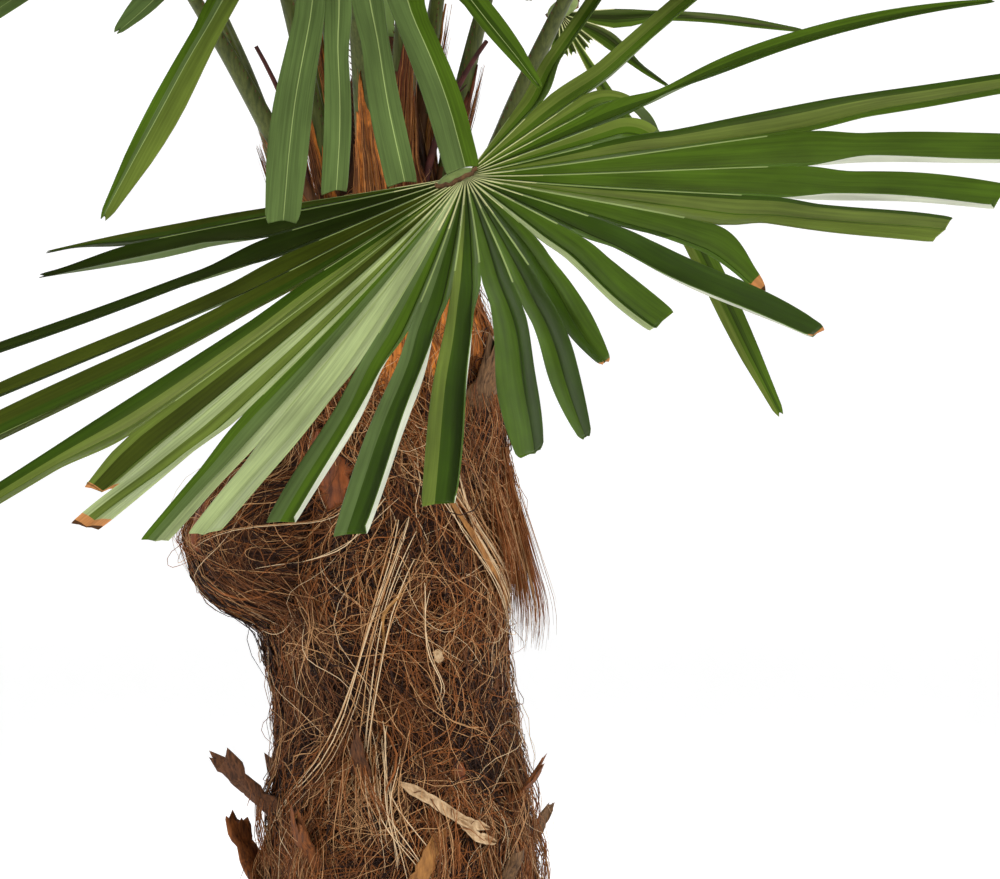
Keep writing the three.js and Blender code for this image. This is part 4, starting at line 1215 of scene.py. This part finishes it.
def leaflet_tones(frond, index, length, seams, distance):
    """A finish number for each face of a leaflet, with painted shade in its fold and along its rib."""
    seed = frond["seed"]
    own_split = max(seam["split"] for seam in seams)
    lean = leaflet_lean(frond, index)
    tones = own(frond, "tones", index, usual_lit_and_shaded_halves[int(2 + 1.99 * wander(seed + 41, index))])
    # With two tones given, each side of the fold takes the next darker green as painted shade.
    if len(tones) == 2:
        tones = (tones[0], deeper[tones[0]], deeper[tones[1]], tones[1])
    small, small_fold, large_fold, large = tones
    dealt = np.tile([small, small, small_fold, rib, rib, large_fold, large, large], (len(distance) - 1, 1))
    # Unless the rib is pale, the rib columns take a darker green still, as a painted shadow along the fold's
    # valley.
    if not own(frond, "pale_rib", index, frond.get("pale_ribs", False)):
        dealt[:, 3] = deeper[small_fold]
        dealt[:, 4] = deeper[large_fold]
    if abs(lean) > 0.5:
        folded_side = slice(0, 4) if lean > 0 else slice(4, 8)
        dealt[distance[1:] > own_split * 0.9, folded_side] = rolled
    dealt[distance[1:] < 0.95 * seams[0]["split"], 0] = rib
    dealt[distance[1:] < 0.95 * seams[1]["split"], 7] = rib
    near_hub = distance[1:] < 0.06 + 0.03 * wander(seed + 51, index)
    dealt[near_hub, 0] = hub_yellow
    dealt[near_hub, 7] = hub_yellow
    burnt_length = burnt_end(frond, index)
    dealt[distance[:-1] > length - burnt_length - 0.0001] = scorched
    dealt[distance[:-1] > length - burnt_length * 0.5] = burnt
    return dealt.ravel()


def fan_mesh(name, frond, place, rows):
    """The whole blade: its leaflets side by side, merged along their seams."""
    plan = leaflet_plan(frond)
    seams = seam_plan(frond, plan)
    inner_end = max(seam["split"] for seam in seams)
    common = hub_radius + (inner_end - hub_radius) * np.linspace(0, 1, rows // 2) ** 1.15
    all_points, all_tones, all_uvs = [], [], []
    for index, leaflet in enumerate(plan):
        beside = seams[index:index + 2]
        own_split = max(seam["split"] for seam in beside)
        distance = leaflet_rows(frond, index, leaflet["length"], own_split, common, rows)
        grid, uvs = leaflet_grid(frond, place, index, leaflet, beside, distance)
        all_points.append(grid)
        all_tones.append(leaflet_tones(frond, index, leaflet["length"], beside, distance))
        all_uvs.append(uvs)
    points = np.array(all_points)
    index = np.arange(points[..., 0].size).reshape(points.shape[:3])
    quads = np.stack([index[:, :-1, :-1], index[:, :-1, 1:], index[:, 1:, 1:], index[:, 1:, :-1]], axis=-1)
    quads = quads.reshape(-1, 4)
    mesh = joined_mesh(name, points.reshape(-1, 3), quads, np.concatenate(all_tones))
    grain = mesh.uv_layers.new(name="grain")
    grain.data.foreach_set("uv", np.array(all_uvs).reshape(-1, 2)[quads.ravel()].astype(np.float32).ravel())
    bm = bmesh.new()
    bm.from_mesh(mesh)
    bmesh.ops.remove_doubles(bm, verts=bm.verts[:], dist=0.00005)
    bm.to_mesh(mesh)
    bm.free()
    return mesh


def blade_finish(name, colour, roughness, veins=0.28):
    """Leathery blade with fine lengthwise veins and broad, uneven bloom, on the leaflet's own map."""
    finish = bpy.data.materials.new(name)
    finish.use_nodes = True
    nodes = finish.node_tree.nodes
    shader = set_inputs(nodes["Principled BSDF"], Roughness=roughness, Specular_IOR_Level=0.16,
                        Specular_Tint=(1.0, 0.95, 0.45, 1))
    leaf_map = nodes.new("ShaderNodeUVMap")
    leaf_map.uv_map = "grain"
    mapping = set_inputs(nodes.new("ShaderNodeMapping"), Scale=(560, 7, 1))
    tones = nodes.new("ShaderNodeGroup")
    tones.node_tree = mottle
    set_inputs(tones, Light=(*(channel * (1 + veins) for channel in colour), 1),
               Dark=(*(channel * (1 - veins) for channel in colour), 1), Scale=1.0, Relief=0.0003)
    broad = set_inputs(nodes.new("ShaderNodeMapping"), Scale=(60, 11, 1))
    bloom = set_inputs(nodes.new("ShaderNodeTexNoise"), Scale=1.0, Detail=3.0)
    strength = set_inputs(nodes.new("ShaderNodeMapRange"), From_Min=0.3, From_Max=0.7, To_Min=0.78,
                          To_Max=1.24)
    uneven = nodes.new("ShaderNodeHueSaturation")
    wire(finish.node_tree, (leaf_map, "UV", mapping, "Vector"), (mapping, "Vector", tones, "Vector"),
         (leaf_map, "UV", broad, "Vector"), (broad, "Vector", bloom, "Vector"),
         (bloom, "Fac", strength, "Value"), (strength, "Result", uneven, "Value"),
         (tones, "Color", uneven, "Color"), (uneven, "Color", shader, "Base Color"),
         (tones, "Normal", shader, "Normal"))
    return finish


# Most of these greens are one leaf green, painted darker or lighter for the light that falls on it.
# The black and deep ones are painted shade, and the bright one is the painted lit side.
# The grey and light ones are a painted reflection of the pale sky; the grey one is also one fan's duller
# green.
blade_finishes = [
    blade_finish("blade_rolled", (0.060, 0.110, 0.015), 0.42),
    blade_finish("blade_painted_deep_shade", (0.010, 0.020, 0.001), 0.42),
    blade_finish("blade_painted_shade", (0.022, 0.048, 0.002), 0.40),
    blade_finish("blade_olive", (0.032, 0.044, 0.003), 0.40),
    blade_finish("blade_green", (0.046, 0.088, 0.005), 0.40),
    blade_finish("blade_painted_lit", (0.096, 0.132, 0.020), 0.42),
    blade_finish("blade_grey_and_painted_sky_sheen", (0.070, 0.108, 0.030), 0.40),
    blade_finish("blade_painted_sky_sheen", (0.275, 0.330, 0.145), 0.42),
    blade_finish("rib_pale", (0.230, 0.290, 0.100), 0.45, 0.1),
    blade_finish("rib_yellow", (0.560, 0.560, 0.270), 0.45, 0.1),
    blade_finish("tip_scorched", (0.420, 0.180, 0.060), 0.6),
    blade_finish("tip_burnt", (0.060, 0.022, 0.009), 0.7),
    # The back of a rolled half is the underside's paler green, lightened much further as painted backlight.
    blade_finish("back_of_rolled", (0.440, 0.460, 0.350), 0.5, 0.1),
    blade_finish("blade_under", (0.075, 0.110, 0.034), 0.5),
]
# Single leaflets of the near fans have their own width, tip, fold, twist, length and tones.
# Their tones are mostly painted light and shade: a lit, shaded or sky-reflecting green for each half and
# fold.
hanging_frond.update(
    pleat=0.25, broad=0.9, waist=1.05, rib_width=0.0006,
    slim={0: 0.5, 1: 0.72, 2: 0.72, 3: 0.8, 4: 0.9, 10: 0.82, 11: 0.9, 12: 0.9, 23: 1.2, 24: 0.6,
          25: 0.42, 26: 0.26, 27: 0.2},
    late_splits={0: 0.5, 1: 0.5, 2: 0.62, 3: 0.62, 4: 0.66, 5: 0.9, 6: 1.6, 7: 1.7, 8: 1.7, 9: 1.5,
                 10: 1.0, 11: 0.9, 12: 0.7, 13: 1.1, 14: 1.15, 15: 0.85, 16: 0.9, 17: 1.1, 18: 1.3, 19: 1.8,
                 20: 1.65, 21: 2.0, 22: 1.85, 23: 0.83, 24: 0.92, 25: 0.78, 26: 0.83, 27: 1.45},
    cut_tips={5: 1, 6: 1, 7: 1, 8: 1, 10: 0.4, 11: 1, 14: 0.5, 15: 1, 16: 1, 17: 1, 18: 1, 19: 1, 20: 1,
              21: 1, 22: 1, 23: 1, 24: 0.7, 25: 0.7, 26: 0.6, 27: 0.6},
    burnt_tips={8: 0.002, 9: 0.014, 10: 0.005, 12: 0.005, 20: 0.011, 21: 0.005},
    leans={0: -0.2, 1: -0.2, 2: 0.1, 5: 0.42, 6: -0.60, 7: -0.60, 8: 0.45, 9: -0.58, 10: -0.58, 11: -0.48,
           12: -0.2, 13: -0.1, 14: 0.3, 15: 0.66, 16: 0.68, 17: 0.66, 18: -0.5, 19: -0.4, 20: -0.35,
           21: -0.3, 22: -0.3, 23: 0.1, 24: 0.2},
    tones={0: (bright, green), 1: (bright, green), 2: (bright, green), 3: (green, deep), 4: (bright, green),
           5: (deep, bright, green, green), 6: (green, green, green, green), 7: (green, green, green, green),
           8: (deep, bright, bright, bright), 9: (green, green, deep, deep), 10: (deep, deep, deep, deep),
           11: (green, green, deep, light), 12: (green, green, deep, deep), 13: (deep, deep, green, green),
           14: (deep, deep, green, green), 15: (grey, green, deep, bright), 16: (grey, green, deep, grey),
           17: (grey, green, green, grey), 18: (light, light, light, light), 19: (light, light, grey, green),
           20: (light, light, bright, light), 21: (light, bright, olive, bright),
           22: (bright, olive, bright, deep), 23: (olive, olive, deep, olive),
           24: (shaded_black_green, shaded_black_green, olive, olive), 25: (shaded_black_green, shaded_black_green),
           26: (shaded_black_green, shaded_black_green), 27: (shaded_black_green, olive)},
    curls={2: (0.58, 150), 4: (0.82, 60), 9: (0.8, 25)},
    twists={3: 10, 26: 0, 27: 0},
    pinches={3: (0.155, 0.75)},
    ends={2: 0.195, 4: 0.152, 11: 0.325},
    bends={2: -13, 26: 0.5},
    margin=0.12,
    pale_rib={23: True},
    fold_share={5: 0.55, 8: 0.72, 15: 0.6, 16: 0.6, 17: 0.5, 19: 0.5, 20: 0.45, 21: 0.6},
)
drooping_frond.update(
    pale_ribs=True, rib_width=0.0006, pleat=0.12, broad=1.12, waist=0.8, tip=0.22,
    slim={7: 0.65, 8: 0.82}, ends={12: 0.172}, cut_tips={8: 1, 9: 1, 10: 1, 11: 0.75}, burnt_tips={},
    tones={index: (grey, grey) for index in range(22)},
)
drooping_frond["tones"].update({7: (green, green), 8: (green, green, grey, grey),
                                13: (bright, bright, grey, green)})
broken_frond.update(
    broad=0.8, slim={4: 0.9, 7: 0.22, 8: 0.32}, burnt_tips={},
    ends={0: 0.042, 1: 0.042, 2: 0.042, 3: 0.042, 5: 0.044, 6: 0.042},
    tones={index: (green, deep) for index in range(9)},
)
broken_frond["tones"][4] = (bright, green)
fronds[5].update(ends={0: 0.31})
near_rows = 44
usual_rows = 24
for number, (frond, place) in enumerate(zip(fronds, frames), start=1):
    name = f"frond_{number:02d}_blade"
    rows = near_rows if frond is hanging_frond else usual_rows
    blade = place_piece(name, fan_mesh(name, frond, place, rows), blade_finishes,
                        [f"frond_{number:02d}_fan"])
    wall = give_wall(blade, blade_thickness, -1)
    # The backs of rolled halves take the pale finish with painted backlight; other backs take the underside
    # green.
    wall.material_offset = 0 if frond is broken_frond else back_of_rolled

# Leaf hubs
# The stalk ends under the blade in a swollen hub with a small raised crest.
# Its edge is dry and brown where the leaf first unfolded.
crest_half_width = 0.0165
crest_half_length = 0.0085
crest_half_height = 0.0070
crest_aside = 0.007
crest_back = 0.003
crest_sunk = 0.0035
lip_steps = 19
crest_green = mottled_finish("crest_green", (0.24, 0.30, 0.10), (0.15, 0.20, 0.06), 120, 0.0005, 0.4)
crest_brown = mottled_finish("crest_brown", (0.22, 0.11, 0.045), (0.07, 0.035, 0.018), 160, 0.001, 0.8)


def lip_section(share):
    return 0.0010 * math.sin(math.pi * share) + 0.0004, 0.0018


for number, place in enumerate(frames, start=1):
    hub_bm = bmesh.new()
    bmesh.ops.create_uvsphere(hub_bm, u_segments=20, v_segments=12, radius=1.0)
    for vert in hub_bm.verts:
        x, y, z = vert.co
        aside = place["side"] * (x * crest_half_width + crest_aside)
        ahead = place["forward"] * (y * crest_half_length - crest_back)
        above = place["up"] * z * crest_half_height
        vert.co = place["hub"] + (aside + ahead + above) - place["seat"] * crest_sunk
    name = f"frond_{number:02d}_hub"
    place_piece(name, bm_mesh(name, hub_bm), [crest_green])
    lip = []
    for step, turn in enumerate(np.linspace(-1.7, 1.5, lip_steps)):
        aside = crest_aside + 0.0168 * math.sin(turn)
        ahead = 0.0078 * math.cos(turn) - crest_back + 0.0014 * wander(number + 60, step)
        above = 0.0012 + 0.0010 * wander(number + 70, step)
        lip.append(place["hub"] + place["side"] * aside + place["forward"] * ahead + place["up"] * above)
    lip_bm = bmesh.new()
    grow_limb(lip_bm, limb_rings(lip, lip_section, 8))
    name = f"frond_{number:02d}_lip"
    place_piece(name, bm_mesh(name, lip_bm), [crest_brown])

# Spear leaf
# The newest leaf stands on the growing tip, still folded tight like a closed fan.
# It grows straight out of the trunk and has no stalk of its own yet.
spear_foot = trunk_top + 0.0003
spear_length = 0.420
spear_rows = 40
spear_corners = 28
spear_turn = 60
spear_heights = np.array([0, 0.060, 0.200, 0.340, spear_length])
spear_widths = np.array([0.014, 0.012, 0.011, 0.009, 0.002])
spear_rings = []
for height in np.linspace(0, spear_length, spear_rows):
    width = np.interp(height, spear_heights, spear_widths)
    centre = np.array([trunk_middle(trunk_top) + height * 0.03, -height * 0.02, spear_foot + height])
    ring = []
    for corner in range(spear_corners):
        pleat = 1.0 if corner % 2 else 0.78
        azimuth = corner * 360 / spear_corners + height * spear_turn
        ring.append(centre + direction(azimuth, 0) * width * pleat)
    spear_rings.append(ring)
spear_bm = bmesh.new()
grow_limb(spear_bm, spear_rings)
spear_green = mottled_finish("spear_green", (0.24, 0.34, 0.10), (0.13, 0.21, 0.05), 40, 0.0006, 0.42,
                             (1, 1, 0.1))
spear_mesh = bm_mesh("spear_leaf_folds", spear_bm)
place_piece("spear_leaf_folds", spear_mesh, [spear_green], ["spear_leaf"])

# Flower stalks
# Thin dried stalks of old flowers stand beside the leaf stalks, dark red with a few bare branches.
# Their feet are sunk in the fibre of the trunk.
dried_red = mottled_finish("dried_red", (0.105, 0.030, 0.024), (0.035, 0.014, 0.012), 90, 0.0008, 0.75)
flower_stalks = [
    # height, azimuth, rise, bend and length
    (1.060, -40, 76, 34, 0.150),
    (1.010, 196, 84, 26, 0.190),
    (1.070, 100, 80, 30, 0.170),
]
stem_steps = 12
twig_count = 5


def stem_section(share):
    return mix(0.004, 0.002, share), mix(0.0035, 0.0018, share)


def twig_section(share):
    return mix(0.0014, 0.0005, share), mix(0.0014, 0.0005, share)


for number, (height, azimuth, rise, bend, length) in enumerate(flower_stalks, start=1):
    stem = [on_trunk(height, azimuth, -0.008)]
    for step in range(stem_steps):
        stem.append(stem[-1] + direction(azimuth, rise - bend * step / stem_steps) * length / stem_steps)
    stem_bm = bmesh.new()
    grow_limb(stem_bm, limb_rings(stem, stem_section, 8))
    for twig in range(twig_count):
        root = stem[4 + twig]
        turn = azimuth + 80 * wander(number + 80, twig)
        reach = 0.022 + 0.010 * wander(number + 90, twig)
        twig_points = [root + direction(turn, rise - 30) * reach * share for share in np.linspace(0, 1, 5)]
        grow_limb(stem_bm, limb_rings(twig_points, twig_section, 6))
    name = f"flower_stalk_{number:02d}_branch"
    place_piece(name, bm_mesh(name, stem_bm), [dried_red], [f"flower_stalk_{number:02d}"])

# Sizes
# Only the view layer is brought up to date here.
bpy.context.view_layer.update()
